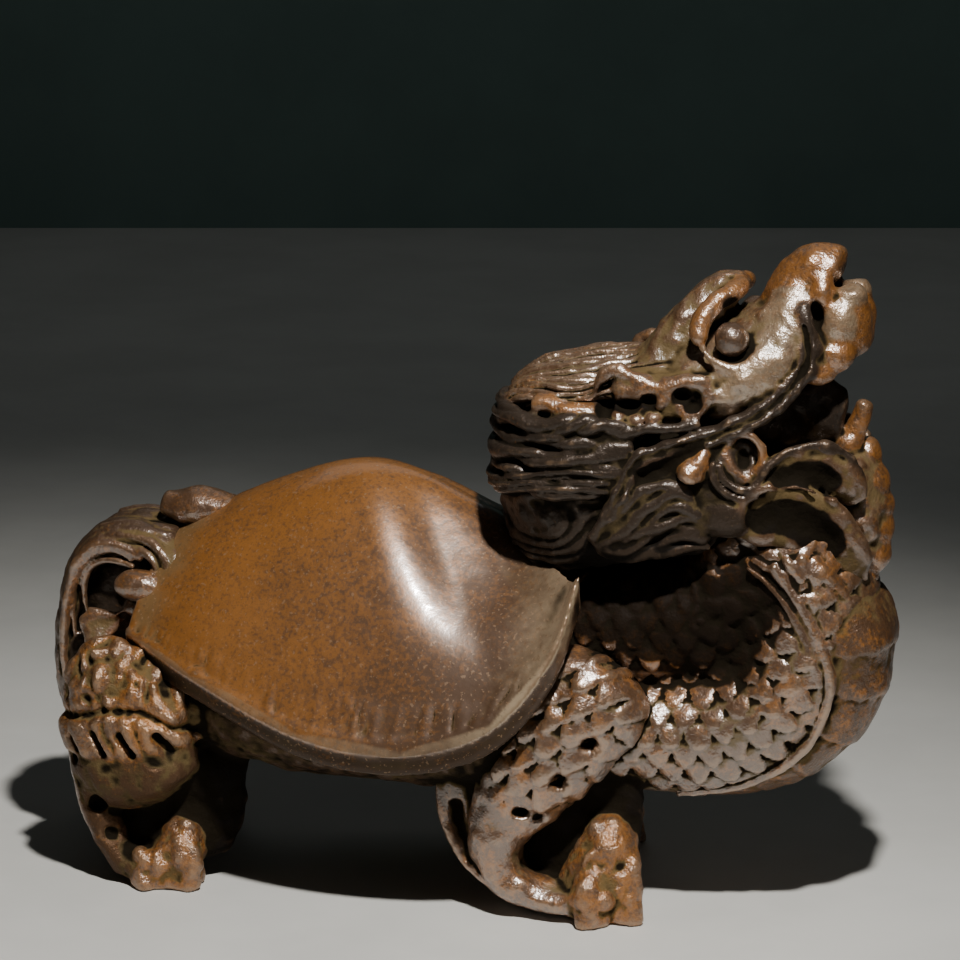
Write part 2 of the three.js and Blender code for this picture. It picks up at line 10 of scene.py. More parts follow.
import bpy
import numpy as np
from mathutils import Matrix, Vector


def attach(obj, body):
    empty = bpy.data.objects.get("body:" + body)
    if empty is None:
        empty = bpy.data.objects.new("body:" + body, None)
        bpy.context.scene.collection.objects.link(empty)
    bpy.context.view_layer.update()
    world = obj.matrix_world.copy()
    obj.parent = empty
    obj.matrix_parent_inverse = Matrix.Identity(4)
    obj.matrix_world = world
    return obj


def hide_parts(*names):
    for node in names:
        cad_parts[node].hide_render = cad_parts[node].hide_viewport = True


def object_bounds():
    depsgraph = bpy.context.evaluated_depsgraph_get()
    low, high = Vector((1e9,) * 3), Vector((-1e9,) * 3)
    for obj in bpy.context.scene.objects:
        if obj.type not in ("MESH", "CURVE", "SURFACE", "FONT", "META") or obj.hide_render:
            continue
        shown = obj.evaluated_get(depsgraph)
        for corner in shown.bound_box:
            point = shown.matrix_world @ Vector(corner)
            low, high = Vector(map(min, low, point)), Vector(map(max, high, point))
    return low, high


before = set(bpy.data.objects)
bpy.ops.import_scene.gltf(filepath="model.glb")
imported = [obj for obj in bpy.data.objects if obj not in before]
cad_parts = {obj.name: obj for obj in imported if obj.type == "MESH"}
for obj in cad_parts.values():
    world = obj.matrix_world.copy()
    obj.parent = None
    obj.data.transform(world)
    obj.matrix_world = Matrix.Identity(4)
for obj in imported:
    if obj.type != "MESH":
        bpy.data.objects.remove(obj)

import openvdb
from mathutils import Vector

CAD_BOX = [list(corner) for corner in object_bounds()]
NODE = "dragon_turtle"

bl_info = {
    "name": "Dragon turtle figure",
    "version": (1, 0, 0),
    "blender": (4, 5, 0),
    "location": "3D View > Sidebar > Figure",
    "description": "Builds a small cast bronze dragon turtle and the floor it stands on",
    "category": "Add Mesh",
}

# The rows below are drawn in millimetres for a figure of this length, with X forward, Y to the
# figure's left and Z up, and with its middle at this X. The frame's box gives the real length.
DRAWN_LENGTH = 74.25
DRAWN_MIDDLE = -1.327
UNIT = (CAD_BOX[1][0] - CAD_BOX[0][0]) / DRAWN_LENGTH
# How far the left legs stand behind the right ones.
STRIDE = 4.0
RIGHT = -1
LEFT = 1
ACROSS = (0.0, 1.0, 0.0)
FORWARD = (1.0, 0.0, 0.0)
# The share of a limb that a rounded end may take up, the rings in it, and the samples along a
# limb's path that give its length.
LONGEST_CAP = 0.3
CAP_RINGS = 6
PATH_SAMPLES = 60
# The share of a path, before and behind a place, over which its direction is measured.
NUDGE = 0.001
# The fewest rings and sides of a limb and of a bead.
LIMB_LEAST = (6, 14)
BEAD_LEAST = (8, 12)
# How much thinner than its middle the ends of a cord are, and those of a lock of hair.
CORD_TAPER = 0.35
LOCK_TAPER = 0.45
# A lock's points, and how much its thickness swells and shrinks on the way.
LOCK_POINTS = 18
LOCK_SWELL = 0.25
# The spacing of the points on a form: usual, fine and coarse.
STEP = 0.25
FINE = 0.2
COARSE = 0.3
# Cells on each side of the skin that hold a distance.
BAND = 5
# Large numbers that scatter the lattice of the noise.
MIXERS = (73856093, 19349663, 83492791)
SEED_MIXER = 2654435761
LAST_MIXER = 1274126177


def size_property(name, default, low, high, description):
    """A size in drawn millimetres."""
    return bpy.props.FloatProperty(
        name=name, default=default, description=description, min=low, max=high
    )


def colour_property(name, default, description):
    """A colour in linear light."""
    return bpy.props.FloatVectorProperty(
        name=name, default=default, description=description, subtype="COLOR", min=0.0, max=1.0
    )


class FigureSizes(bpy.types.PropertyGroup):
    """Sizes of the carving, in drawn millimetres."""

    body_cell: size_property(
        "Body cell", 0.24, 0.15, 1.0, "Cell in which the shell, the body and the legs are cast"
    )
    head_cell: size_property(
        "Head cell", 0.2, 0.15, 1.0, "Cell in which the head and the tail are cast"
    )
    scale_lift: size_property(
        "Scale lift", 0.62, 0.0, 1.5, "How far a scale's free edge stands off the neck"
    )
    cast_lumps: size_property("Cast lumps", 0.08, 0.0, 0.4, "Height of the uneven casting skin")


class FigureColours(bpy.types.PropertyGroup):
    """Colours of the patina, the floor and the backdrop."""

    brown: colour_property("Brown", (0.14, 0.07, 0.033), "The patina over most of the figure")
    orange: colour_property("Orange", (0.37, 0.145, 0.027), "Rubbed bronze on the shell and the tips")
    dusk: colour_property("Dusk", (0.045, 0.032, 0.023), "Grey-brown of the mane and the beard")
    olive: colour_property("Olive", (0.12, 0.085, 0.036), "Old dirt in the hollows")
    # Soot also paints shade: where metal crowds round, under edges and in the head's shadow.
    soot_and_shade: colour_property("Soot_and_shade", (0.004, 0.003, 0.002), "The deepest grooves")
    bright: colour_property("Bright", (0.38, 0.24, 0.14), "Metal worn bare along the high edges")
    # Pale also paints a sheen on the shell's front.
    pale: colour_property("Pale", (0.4, 0.3, 0.19), "Pale, dry patches on the muzzle and the knobs")
    floor: colour_property("Floor", (0.62, 0.62, 0.59), "The pale floor")
    backdrop: colour_property("Backdrop", (0.26, 0.38, 0.35), "The wall behind the floor")


# Curves and noise.


def smooth(value, low, high):
    """Smooth step of an array: 0 below low, 1 above high and 3t^2 - 2t^3 between them."""
    t = np.clip((value - low) / (high - low), 0.0, 1.0)
    return t * t * (3.0 - 2.0 * t)


def through(rows, t):
    """Values at shares t of a smooth curve through the rows.

    Each span is the Catmull-Rom cubic of its two rows and their neighbours, and both ends are
    carried straight on.
    """
    rows = np.array(rows, float)
    ends = np.vstack([2 * rows[0] - rows[1], rows, 2 * rows[-1] - rows[-2]])
    place = np.clip(t, 0.0, 1.0) * (len(rows) - 1)
    span = np.minimum(place.astype(int), len(rows) - 2)
    f = (place - span)[:, None]
    a, b, c, d = (ends[span + step] for step in range(4))
    second = 2 * a - 5 * b + 4 * c - d
    third = 3 * b - a - 3 * c + d
    return 0.5 * (2 * b + (c - a) * f + second * f**2 + third * f**3)


def lattice(cell, seed):
    """A random number from 0 to 1 for each whole-numbered cell, by mixing its three numbers."""
    mixed = seed * SEED_MIXER
    for axis, mixer in enumerate(MIXERS):
        mixed = mixed ^ cell[..., axis] * mixer
    mixed = (mixed ^ (mixed >> 13)) * LAST_MIXER & 0xFFFFFFFF
    return ((mixed ^ (mixed >> 16)) & 0xFFFF) / 65535.0


def blended(cell, share, value_at):
    """The sum over a cell's eight corners of the corner's value times its share along each axis."""
    total = np.zeros(cell.shape[:-1])
    for corner in np.ndindex(2, 2, 2):
        weight = np.prod(np.where(corner, share, 1.0 - share), axis=-1)
        total += weight * value_at(cell + corner)
    return total


def noise(points, size, seed):
    """Smooth noise from -1 to 1: lattice numbers of that spacing, blended by a smooth step."""
    place = np.asarray(points, float) / size
    cell = np.floor(place).astype(np.int64)
    share = smooth(place - cell, 0.0, 1.0)
    return 2.0 * blended(cell, share, lambda corner: lattice(corner, seed)) - 1.0


def near(points, places, reach):
    """1 at the nearest of the places and falling off as a bell of that reach."""
    best = np.zeros(len(points))
    for place in places:
        away = ((points - place) ** 2).sum(axis=1)
        best = np.maximum(best, np.exp(-away / reach**2))
    return best


def both_sides(points):
    """The points with the right half of the figure laid over the left."""
    return points * (1, 0, 1) + np.abs(points) * (0, 1, 0)


# Forms. A form is an array of points, an array of quads and an array of triangles.


def rings_of(count, sides):
    """Quads between `count` rings of `sides` points, each joined to the next ring."""
    ring, side = np.meshgrid(np.arange(count - 1), np.arange(sides), indexing="ij")
    here = ring * sides + side
    right = ring * sides + (side + 1) % sides
    return np.stack([here, right, right + sides, here + sides], axis=-1).reshape(-1, 4)


def closed(grid, poles):
    """A grid of rings as a form, with a fan of triangles from each pole to the ring beside it."""
    rings, sides = grid.shape[:2]
    edge = np.arange(sides)
    after = (edge + 1) % sides
    end = (rings - 1) * sides
    start_fan = np.stack([np.full(sides, rings * sides), after, edge], axis=1)
    end_fan = np.stack([np.full(sides, rings * sides + 1), end + edge, end + after], axis=1)
    points = np.vstack([grid.reshape(-1, 3), poles])
    return points, rings_of(rings, sides), np.vstack([start_fan, end_fan])


def normals_of(grid, centres):
    """Unit normals of a grid of rings, turned away from the rings' centres."""
    along = np.gradient(grid, axis=0)
    around = np.roll(grid, -1, axis=1) - np.roll(grid, 1, axis=1)
    normal = np.cross(around, along)
    normal /= np.linalg.norm(normal, axis=2, keepdims=True) + 1e-9
    outward = ((grid - centres[:, None]) * normal).sum(axis=2, keepdims=True)
    return normal * np.where(outward < 0, -1.0, 1.0)


def limb(rows, relief=None, across=ACROSS, square=2.0, cap=0.8, step=STEP):
    """An oval carried along a smooth path and rounded off at both ends.

    A row is x, y, z, half width, half height. The ring at share t is the path's point plus the
    width direction times cos(a)^(2/square) times the half width, plus the height direction times
    sin(a)^(2/square) times the half height. Both halves shrink to nothing over the caps as the
    sine of a quarter turn. Relief(points, distance along, angle) moves each point along its
    normal.
    """
    rows = np.array(rows, float)
    spine = through(rows, np.linspace(0.0, 1.0, PATH_SAMPLES))
    length = np.linalg.norm(np.diff(spine[:, :3], axis=0), axis=1).sum()
    caps = [min(LONGEST_CAP, cap * rows[end, 3:].min() / length) for end in (0, -1)]
    turn = np.linspace(0.0, math.pi / 2, CAP_RINGS + 1)[1:]
    count = max(LIMB_LEAST[0], math.ceil(length / step))
    middle = np.linspace(caps[0], 1.0 - caps[1], count + 1)[1:-1]
    first = caps[0] * (1.0 - np.cos(turn))
    last = 1.0 - caps[1] * (1.0 - np.cos(turn[::-1]))
    t = np.concatenate([first, middle, last])
    closing = np.concatenate([np.sin(turn), np.ones(len(middle)), np.sin(turn[::-1])])
    state = through(rows, t)
    along = through(rows, t + NUDGE)[:, :3] - through(rows, t - NUDGE)[:, :3]
    along /= np.linalg.norm(along, axis=1, keepdims=True)
    height = np.cross(along, across)
    height /= np.linalg.norm(height, axis=1, keepdims=True)
    width = np.cross(height, along)
    sides = max(LIMB_LEAST[1], math.ceil(2 * math.pi * rows[:, 3:].max() / step))
    angle = np.linspace(0.0, 2 * math.pi, sides, endpoint=False)
    cosine = np.sign(np.cos(angle)) * np.abs(np.cos(angle)) ** (2.0 / square)
    sine = np.sign(np.sin(angle)) * np.abs(np.sin(angle)) ** (2.0 / square)
    wide = (state[:, 3] * closing)[:, None] * cosine
    high = (state[:, 4] * closing)[:, None] * sine
    grid = state[:, None, :3] + width[:, None] * wide[..., None] + height[:, None] * high[..., None]
    if relief is not None:
        raised = relief(grid, (t * length)[:, None], angle[None]) * closing[:, None]
        grid = grid + normals_of(grid, state[:, :3]) * raised[..., None]
    return closed(grid, through(rows, np.array([0.0, 1.0]))[:, :3])


def cord(places, thick, relief=None):
    """A round cord of that half thickness through the places, thinner at both ends."""
    places = np.array(places, float)
    t = np.linspace(-1.0, 1.0, len(places))
    half = thick * (1.0 - CORD_TAPER * t**6)
    return limb(np.column_stack([places, half, half]), relief, step=FINE)


def bead(centre, radii, step=STEP):
    """An ellipsoid: the centre plus each radius times the sines and cosines of two angles."""
    sides = max(BEAD_LEAST[1], math.ceil(2 * math.pi * max(radii) / step))
    rings = max(BEAD_LEAST[0], sides // 2)
    tilt = np.linspace(0.0, math.pi, rings + 2)[1:-1, None]
    turn = np.linspace(0.0, 2 * math.pi, sides, endpoint=False)[None]
    flat = np.sin(tilt)
    unit = np.stack([flat * np.cos(turn), flat * np.sin(turn), np.cos(tilt) + 0 * turn], axis=-1)
    poles = np.array([(0, 0, 1), (0, 0, -1)]) * radii + centre
    return closed(unit * radii + centre, poles)


def beads(rows, step=STEP):
    """An ellipsoid for each row of a centre and its radii."""
    return [bead(centre, radii, step) for centre, radii in rows]


def placed(form, side, back):
    """The form on that side of the figure, moved back by that much. Drawn forms are on the left."""
    points, quads, triangles = form
    moved = points * (1.0, side, 1.0) - (back, 0.0, 0.0)
    return moved, quads, triangles


# Carving.


def lumps(*layers):
    """A relief of noise: each layer is a height, a size and a seed."""

    def relief(points, along, angle):
        """The sum of the layers."""
        return sum(height * noise(points, width, seed) for height, width, seed in layers)

    return relief


# A scale: how far its tip hangs over the next row, its height at the root, how far its height
# follows a sine, and how much lower its flanks lie. Strands: the length and width of a clump.
SCALE_HANG = 0.8
SCALE_ROOT = 0.12
SCALE_CURVE = 1.6
SCALE_FLANK = 0.35
STRAND_LONG = 5.0
STRAND_CLUMP = 2.5


def scales(along, across_row, long, wide):
    """Overlapping scales, from 0 at a root to 1 at a free edge.

    Rows of scales lie square to `along`, and every second row is moved by half a scale.
    Across_row(row) gives each point's distance along that row. A scale's free edge lies
    1 + 0.8 (1 - d^2) rows past its root, where d is the distance from its middle line as a
    share of its half width, so each edge hangs over the roots of the next row. From root to edge
    the height rises from 0.12 to 1 as a sine, and a scale's flanks lie lower by 0.35 d^2.
    """
    row = np.floor(along / long)
    height = np.zeros(along.shape)
    seen = np.zeros(height.shape, bool)
    for back in (1, 0):
        mine = row - back
        place = across_row(mine) / wide - 0.5 * np.mod(mine, 2)
        across = 2.0 * (place - np.round(place))
        past = along / long - mine
        reach = 1.0 + SCALE_HANG * (1.0 - across**2)
        rise = SCALE_ROOT + (1.0 - SCALE_ROOT) * np.sin(SCALE_CURVE * np.clip(past / reach, 0.0, 1.0))
        take = (past < reach) & ~seen
        height = np.where(take, rise * (1.0 - SCALE_FLANK * across**2), height)
        seen |= take
    return height


def strands(across, along, wide, wander, seed):
    """Rounded strands side by side from 0 in a groove to 1 on a strand.

    The height is |sin(pi p)|^0.8, where p is the place across counted in strands and moved by noise
    that is stretched along them, so strands swell, merge and part.
    """
    clump = across / (STRAND_CLUMP * wide)
    place = np.stack(np.broadcast_arrays(along / STRAND_LONG, clump, 0.0 * along), axis=-1)
    phase = across / wide + wander * noise(place, 1.0, seed)
    return np.abs(np.sin(math.pi * phase)) ** 0.8


# The casting. Each finish gives the skin's values in the order of VALUE_NAMES, each as a share:
# rubbed warm, grey-brown dusk, olive dirt, dry pale patches, black grime with painted shade, and dull
# broken stone.

VALUE_NAMES = ("warm", "dusk", "olive", "pale", "grime_and_shade", "stony")
FINISHES = {
    "brown": (0.2, 0.5, 0.4, 0.0, 0.0, 0.1),
    # The belly's black is painted shade under the shell.
    "belly": (0.1, 0.6, 0.5, 0.0, 0.35, 0.2),
    "shell": (0.6, 0.1, 0.0, 0.1, 0.0, 0.0),
    "scaled": (0.4, 0.0, 0.35, 0.1, 0.0, 0.0),
    "armoured": (0.6, 0.0, 0.2, 0.1, 0.0, 0.1),
    "worn": (0.5, 0.0, 0.1, 0.2, 0.0, 0.1),
    "throat": (0.6, 0.35, 0.3, 0.0, 0.05, 0.5),
    "paw": (0.9, 0.0, 0.4, 0.2, 0.0, 0.9),
    "haunch": (0.9, 0.0, 0.4, 0.1, 0.0, 1.0),
    "calf": (0.2, 0.5, 0.7, 0.0, 0.3, 0.7),
    "hair": (0.1, 0.9, 0.0, 0.0, 0.12, 0.1),
    "beard": (0.1, 0.8, 0.3, 0.0, 0.15, 0.1),
    "crown": (0.3, 0.0, 0.5, 0.35, 0.0, 0.1),
    "crest": (0.3, 0.0, 0.8, 0.3, 0.0, 0.3),
    "orange": (1.3, 0.0, 0.0, 0.1, 0.0, 0.3),
    "muzzle": (0.9, 0.0, 0.15, 0.75, 0.0, 0.3),
    "olive": (0.0, 0.2, 1.0, 0.0, 0.0, 0.3),
    # Deep is for hollows and tucked-in parts: dusk and olive patina with black painted shade.
    "deep": (0.0, 0.6, 0.7, 0.0, 0.8, 0.2),
    "grey": (0.0, 0.8, 0.2, 0.15, 0.2, 0.2),
}
FINISH_NAMES = list(FINISHES)


class Metal:
    """A box of cells, each holding the distance to the skin of the metal, negative inside.

    Each cell also holds the finish of the form that its metal was last shaped by.
    """

    def __init__(self, low, high, cell):
        self.cell = cell
        self.low = np.floor(np.array(low) / cell).astype(int)
        self.high = np.ceil(np.array(high) / cell).astype(int)
        self.far = BAND * cell
        self.transform = openvdb.createLinearTransform(cell)
        self.distance = np.full(self.high - self.low + 1, self.far, np.float32)
        self.finish = np.zeros(self.distance.shape, np.uint8)

    def around(self, form):
        """Where a form lies in the box, and its distances there."""
        points, quads, triangles = form
        grid = openvdb.FloatGrid.createLevelSetFromPolygons(
            points.astype(np.float32),
            triangles=triangles.astype(np.uint32),
            quads=quads.astype(np.uint32),
            transform=self.transform,
            halfWidth=float(BAND),
        )
        start, end = (np.array(corner) for corner in grid.evalActiveVoxelBoundingBox())
        start = np.maximum(start, self.low)
        end = np.minimum(end, self.high)
        values = np.empty(np.maximum(end - start + 1, 0), np.float32)
        if values.size:
            grid.copyToArray(values, ijk=tuple(int(i) for i in start))
        where = tuple(slice(a, b + 1) for a, b in zip(start - self.low, end - self.low))
        return where, values

    def work(self, steps):
        """Takes the steps in turn: each adds a form or cuts it away."""
        for how, form, finish, melt in steps:
            where, new = self.around(form)
            if not new.size:
                continue
            old = self.distance[where].copy()
            if how == "add":
                taken = new < old
                self.distance[where] = melted(new, old, melt)
            else:
                taken = -new > old - self.cell
                self.distance[where] = -melted(new, -old, melt)
            if finish:
                self.finish[where][taken] = FINISH_NAMES.index(finish)

    def level(self):
        """Cuts the metal off level at the floor."""
        heights = np.arange(self.low[2], self.high[2] + 1) * self.cell
        self.distance = np.maximum(self.distance, -heights.astype(np.float32))

    def skin(self):
        """Points and quads of the skin, with the faces outwards."""
        grid = openvdb.FloatGrid()
        grid.background = self.far
        grid.copyFromArray(self.distance, ijk=tuple(int(i) for i in self.low))
        grid.transform = self.transform
        points, quads = grid.convertToQuads(0.0)
        points = points.astype(float)
        quads = quads.astype(np.int64)
        flux = (points * skin_normals(points, quads)).sum()
        return points, quads if flux > 0 else quads[:, ::-1]

    def finish_at(self, points):
        """The finish of the cell each point lies in."""
        cell = np.rint(points / self.cell).astype(int) - self.low
        cell = np.clip(cell, 0, np.array(self.distance.shape) - 1)
        return self.finish[tuple(cell.T)]

    def crowding(self, reach):
        """Share of metal around each cell, averaged twice over a box of that half width."""
        share = (self.distance < 0).astype(np.float32)
        half = max(1, round(reach / self.cell))
        for _ in range(2):
            for axis in range(3):
                share = running_mean(share, half, axis)
        return share

    def sample(self, field, points):
        """Values of a field at points, blended between the eight cells around each."""
        place = np.clip(points / self.cell - self.low, 0.0, np.array(field.shape) - 1.001)
        cell = place.astype(int)
        return blended(cell, place - cell, lambda corner: field[tuple(corner.T)])


def melted(first, second, melt):
    """The lower of two distances, rounded off where they differ by less than `melt`."""
    share = np.clip(0.5 + 0.5 * (second - first) / melt, 0.0, 1.0)
    return second * (1 - share) + first * share - melt * share * (1 - share)


def running_mean(values, half, axis):
    """Mean of each value and its `half` neighbours on both sides along an axis, by running sums."""
    pad = [(0, 0)] * values.ndim
    pad[axis] = (half + 1, half)
    total = np.cumsum(np.pad(values, pad, mode="edge"), axis=axis, dtype=np.float32)
    count = values.shape[axis]
    width = 2 * half + 1
    high = np.take(total, np.arange(width, width + count), axis=axis)
    low = np.take(total, np.arange(count), axis=axis)
    return (high - low) / width


def relaxed(values, quads, times):
    """Each point's values drawn halfway to the mean of its neighbours', `times` over."""
    start = quads.ravel()
    end = np.roll(quads, -1, axis=1).ravel()
    count = len(values)
    beside = np.bincount(start, minlength=count)[:, None]
    for _ in range(times):
        total = [np.bincount(start, column[end], count) for column in values.T]
        values = 0.5 * values + 0.5 * np.stack(total, axis=1) / beside
    return values


def skin_normals(points, quads):
    """Unit normal at each point: the sum of the normals of the quads round it."""
    corner = points[quads]
    face = np.cross(corner[:, 2] - corner[:, 0], corner[:, 3] - corner[:, 1])
    total = [np.bincount(quads.ravel(), np.repeat(column, 4), len(points)) for column in face.T]
    total = np.stack(total, axis=1)
    return total / (np.linalg.norm(total, axis=1, keepdims=True) + 1e-12)


def add(forms, finish, melt=0.45):
    """Steps that melt each form onto the metal."""
    return [("add", form, finish, melt) for form in forms]


def cut(forms, finish=None, melt=0.2):
    """Steps that take each form away from the metal."""
    return [("cut", form, finish, melt) for form in forms]


def on_side(steps, side, back=0.0):
    """The steps on that side of the figure, moved back by that much."""
    return [(how, placed(form, side, back), finish, melt) for how, form, finish, melt in steps]


def on_both(steps):
    """The steps on the right and on the left."""
    return on_side(steps, RIGHT) + on_side(steps, LEFT)


# The shell. Its ridge runs from the tail to the neck, and its rim hangs in an arc between a
# pointed rear corner and a pointed front corner.
SHELL_RIDGE = [(-26.5, 0, 29.4), (-20.3, 0, 33.1), (-11.3, 0, 36.3), (-5, 0, 35.6), (2.2, 0, 32.4)]
SHELL_RIM = [
    (-29.2, 8.4, 21.6), (-22, 12.6, 19.2), (-11.5, 15.8, 15.6), (-2.5, 16.6, 15), (5, 16, 17.6),
    (9.6, 13.6, 23.4), (11.4, 10.6, 30),
]
# How high the wall stands under the rim, from its rear corner to its front corner.
SHELL_EDGE = [(2.0,), (1.7,), (1.6,), (1.6,), (1.9,), (2.5,), (2.8,)]
# How far the wall leans in, how low it turns under, and the least thickness of the slab.
SHELL_TUCK = 0.7
SHELL_FLOOR = 17.0
SHELL_LEAST = 1.2
# The bell's share of the height, and the depth of the dishes.
SHELL_FLARE = 0.15
SHELL_DISH = 3.0
# The valley's place and half width as shares of the shell's half width, and its depth.
SHELL_VALLEY = 0.86
SHELL_VALLEY_HALF = 0.08
SHELL_VALLEY_DEPTH = 0.6
# The sunk border and the raised lip: the shares between which each sets in, and its size.
SHELL_BORDER = (0.83, 0.89)
SHELL_BORDER_DEPTH = 0.12
SHELL_LIP = (0.95, 0.98)
SHELL_LIP_HEIGHT = 0.24
# The points along the shell and across it.
SHELL_STATIONS = 300
SHELL_COLUMNS = 320
# The strokes on the border: the shares between which they set in and end, and their height.
STROKE_START = (0.87, 0.92)
STROKE_END = (0.965, 0.99)
STROKE_HEIGHT = 0.42
# A pale scuff, and the olive rear corner with its reach.
SHELL_SCUFF = (-7.9, -7.5, 33.2)
SHELL_CORNER = [(-29, 7, 24), (-27, 4, 27.6), (-26, 1, 29.6)]
SHELL_CORNER_REACH = 4.2


def shell_form():
    """The shell as a closed slab.

    Across the shell, with d the distance from the middle as a share of the half width, the height
    runs from the rim to the ridge as (1 - f)(1 - d^2)^0.9 plus f times a bell. A shallow dish,
    |sin(pi d)|^1.6 deep, lies in the front half on each side, and a narrow valley inside the rim.
    The border inside the rim is sunk a little and the rim stands up as a lip. The wall under the
    rim leans in and turns under to the body.
    """
    t = np.linspace(0.0, 1.0, SHELL_STATIONS)
    ridge = through(SHELL_RIDGE, t)
    rim = through(SHELL_RIM, t)
    across = -np.cos(np.linspace(0.0, math.pi, SHELL_COLUMNS))
    out = np.abs(across)
    bell = 0.5 + 0.5 * np.cos(math.pi * out)
    rise = (1 - SHELL_FLARE) * (1 - out**2) ** 0.9 + SHELL_FLARE * bell
    x = ridge[:, :1] + (rim[:, :1] - ridge[:, :1]) * out
    y = rim[:, 1:2] * across
    z = rim[:, 2:] + (ridge[:, 2:] - rim[:, 2:]) * rise
    forward = smooth(t, 0.5, 0.72) * (1.0 - 0.4 * smooth(t, 0.85, 1.0))
    dish = forward[:, None] * np.abs(np.sin(math.pi * out)) ** 1.6
    valley = np.exp(-(((out - SHELL_VALLEY) / SHELL_VALLEY_HALF) ** 2)) * smooth(t, 0.2, 0.6)[:, None]
    z = z - SHELL_DISH * dish - SHELL_VALLEY_DEPTH * valley
    lip = smooth(out, *SHELL_LIP)
    border = smooth(out, *SHELL_BORDER) * (1.0 - lip)
    z = z - SHELL_BORDER_DEPTH * border + SHELL_LIP_HEIGHT * lip
    edge = smooth(out, 0.55, 1.0)
    inward = 1.0 - (SHELL_TUCK / rim[:, 1:2]) * edge
    wall = SHELL_FLOOR + (rim[:, 2:] - through(SHELL_EDGE, t) - SHELL_FLOOR) * edge
    upper = np.stack([x, y, z], axis=-1)
    lower = np.stack([x, y * inward, np.minimum(wall, z - SHELL_LEAST)], axis=-1)
    loop = np.concatenate([upper, lower[:, ::-1]], axis=1)
    sides = loop.shape[1]
    column = np.arange(SHELL_COLUMNS - 1)
    cap = np.stack([column, column + 1, sides - 2 - column, sides - 1 - column], axis=1)
    last = (SHELL_STATIONS - 1) * sides
    quads = np.vstack([rings_of(SHELL_STATIONS, sides), cap[:, ::-1], cap + last])
    return loop.reshape(-1, 3), quads, np.zeros((0, 3), int)


def rim_share(points):
    """How far out each place lies, from 0 at the ridge to 1 at the rim, and its height over the rim."""
    rim = np.array(SHELL_RIM)
    x, y, z = points.T
    return np.abs(y) / np.interp(x, rim[:, 0], rim[:, 1]), z - np.interp(x, rim[:, 0], rim[:, 2])


def shell_strokes(points):
    """Short strokes across the shell's border: noise much longer outwards than along it."""
    out, over = rim_share(points)
    place = np.stack([points[:, 0] * 1.7 + 9.0 * out, out * 9.0, np.sign(points[:, 1])], axis=-1)
    border = smooth(out, *STROKE_START) * (1.0 - smooth(out, *STROKE_END)) * smooth(over, 0.1, 0.4)
    strong = 0.35 + 0.65 * smooth(noise(points, 3.0, 13), -0.3, 0.5)
    return STROKE_HEIGHT * strong * border * (np.abs(noise(place, 1.0, 7)) ** 0.7 - 0.4)


# The body, and the neck that rises from the chest in a swan's bend.
BODY = [
    (-28, 0, 20.6, 5, 4.6), (-24, 0, 17.9, 9.3, 6.4), (-14, 0, 16.3, 11.8, 6.9),
    (0, 0, 16.1, 12, 6.9), (9, 0, 16.4, 11, 6.8), (14, 0, 16.4, 9, 6.8),
]
NECK = [
    (8, 0, 16.4, 9, 6.8), (14.5, 0, 15.3, 8.6, 5.9), (21.5, 0, 15.6, 8, 6.1),
    (26.8, 0, 18.6, 7.6, 6.3), (29, 0, 23.8, 7.2, 6.1), (28.4, 0, 29.4, 6.6, 5.4),
    (25.8, 0, 34, 6, 5),
]
CROP = [
    (7, 0, 24.5, 7.4, 5.6), (15, 0, 24, 7.2, 6.4), (22, 0, 26.4, 6.6, 6.4), (24.6, 0, 31.6, 6, 5.8),
    (24.4, 0, 36, 5, 4.6),
]
THROAT_PLATES = [
    (17.4, 0, 14.2, 5.4, 4.8), (23.6, 0, 15.2, 6, 5.8), (28.2, 0, 18.4, 6.3, 6.2),
    (30.3, 0, 23.6, 6.3, 5.8), (30, 0, 28.8, 5.8, 5.2),
]
NECK_RIDGE = [
    (25, 6.2, 31.4), (26.9, 6.6, 30.4), (28.7, 6.8, 28.5), (30.4, 6.8, 25.8), (31.5, 6.7, 23),
    (31.8, 6.6, 20.5), (31, 6.4, 17.5), (29.2, 6.2, 14.7), (26.5, 5.8, 12.5), (23.1, 5.4, 11),
    (18.5, 5, 10),
]
NECK_RIDGE_INNER = [
    (24.6, 6.8, 30.8), (26.6, 7, 29.4), (28.4, 7.1, 27.2), (29.8, 7.1, 24.6), (30.4, 7, 22),
]
THROAT_PLEATS = [
    [(26.8, 6.9, 31.2), (28.2, 6.8, 29.6)], [(27.8, 6.8, 31.8), (29.4, 6.6, 29.8)],
    [(28.9, 6.5, 32), (30.6, 6.2, 29.7)], [(30, 6, 31.7), (31.8, 5.6, 29.2)],
    [(31, 5.4, 30.9), (32.8, 4.8, 28)],
]
CHEST_CRACK = [(26.4, 6.8, 13.3), (24.8, 6.9, 12.5), (23.2, 6.6, 11.9), (22, 6.2, 11.6)]
# Places on the neck under the head where the head's shadow is painted black.
HEAD_SHADOW_PLACES = [
    (12.8, 7, 26.7), (15.2, 7, 26.4), (17.4, 7, 25.4), (20, 7, 27.8), (20.5, 7, 24.6),
    (22.4, 7, 24.2), (24.2, 7, 27.6), (14, 7, 29), (18, 7, 29),
]
# The length and width of a neck scale, the size of an arm scale, and the centre, as X and Z, of
# the bend that the neck's rows of scales turn round.
SCALE_LONG = 1.6
SCALE_WIDE = 2.2
ARM_SCALE = 2.1
BEND = (20.0, 26.0)
# From the shoulder to the elbow, as X and Z, and where the scales fade out below it.
UPPER_ARM = ((13.4, 21.0), (4.2, 7.0))
ARM_FADE = (11.0, 14.0)
THROAT_PLATE_LONG = 2.9


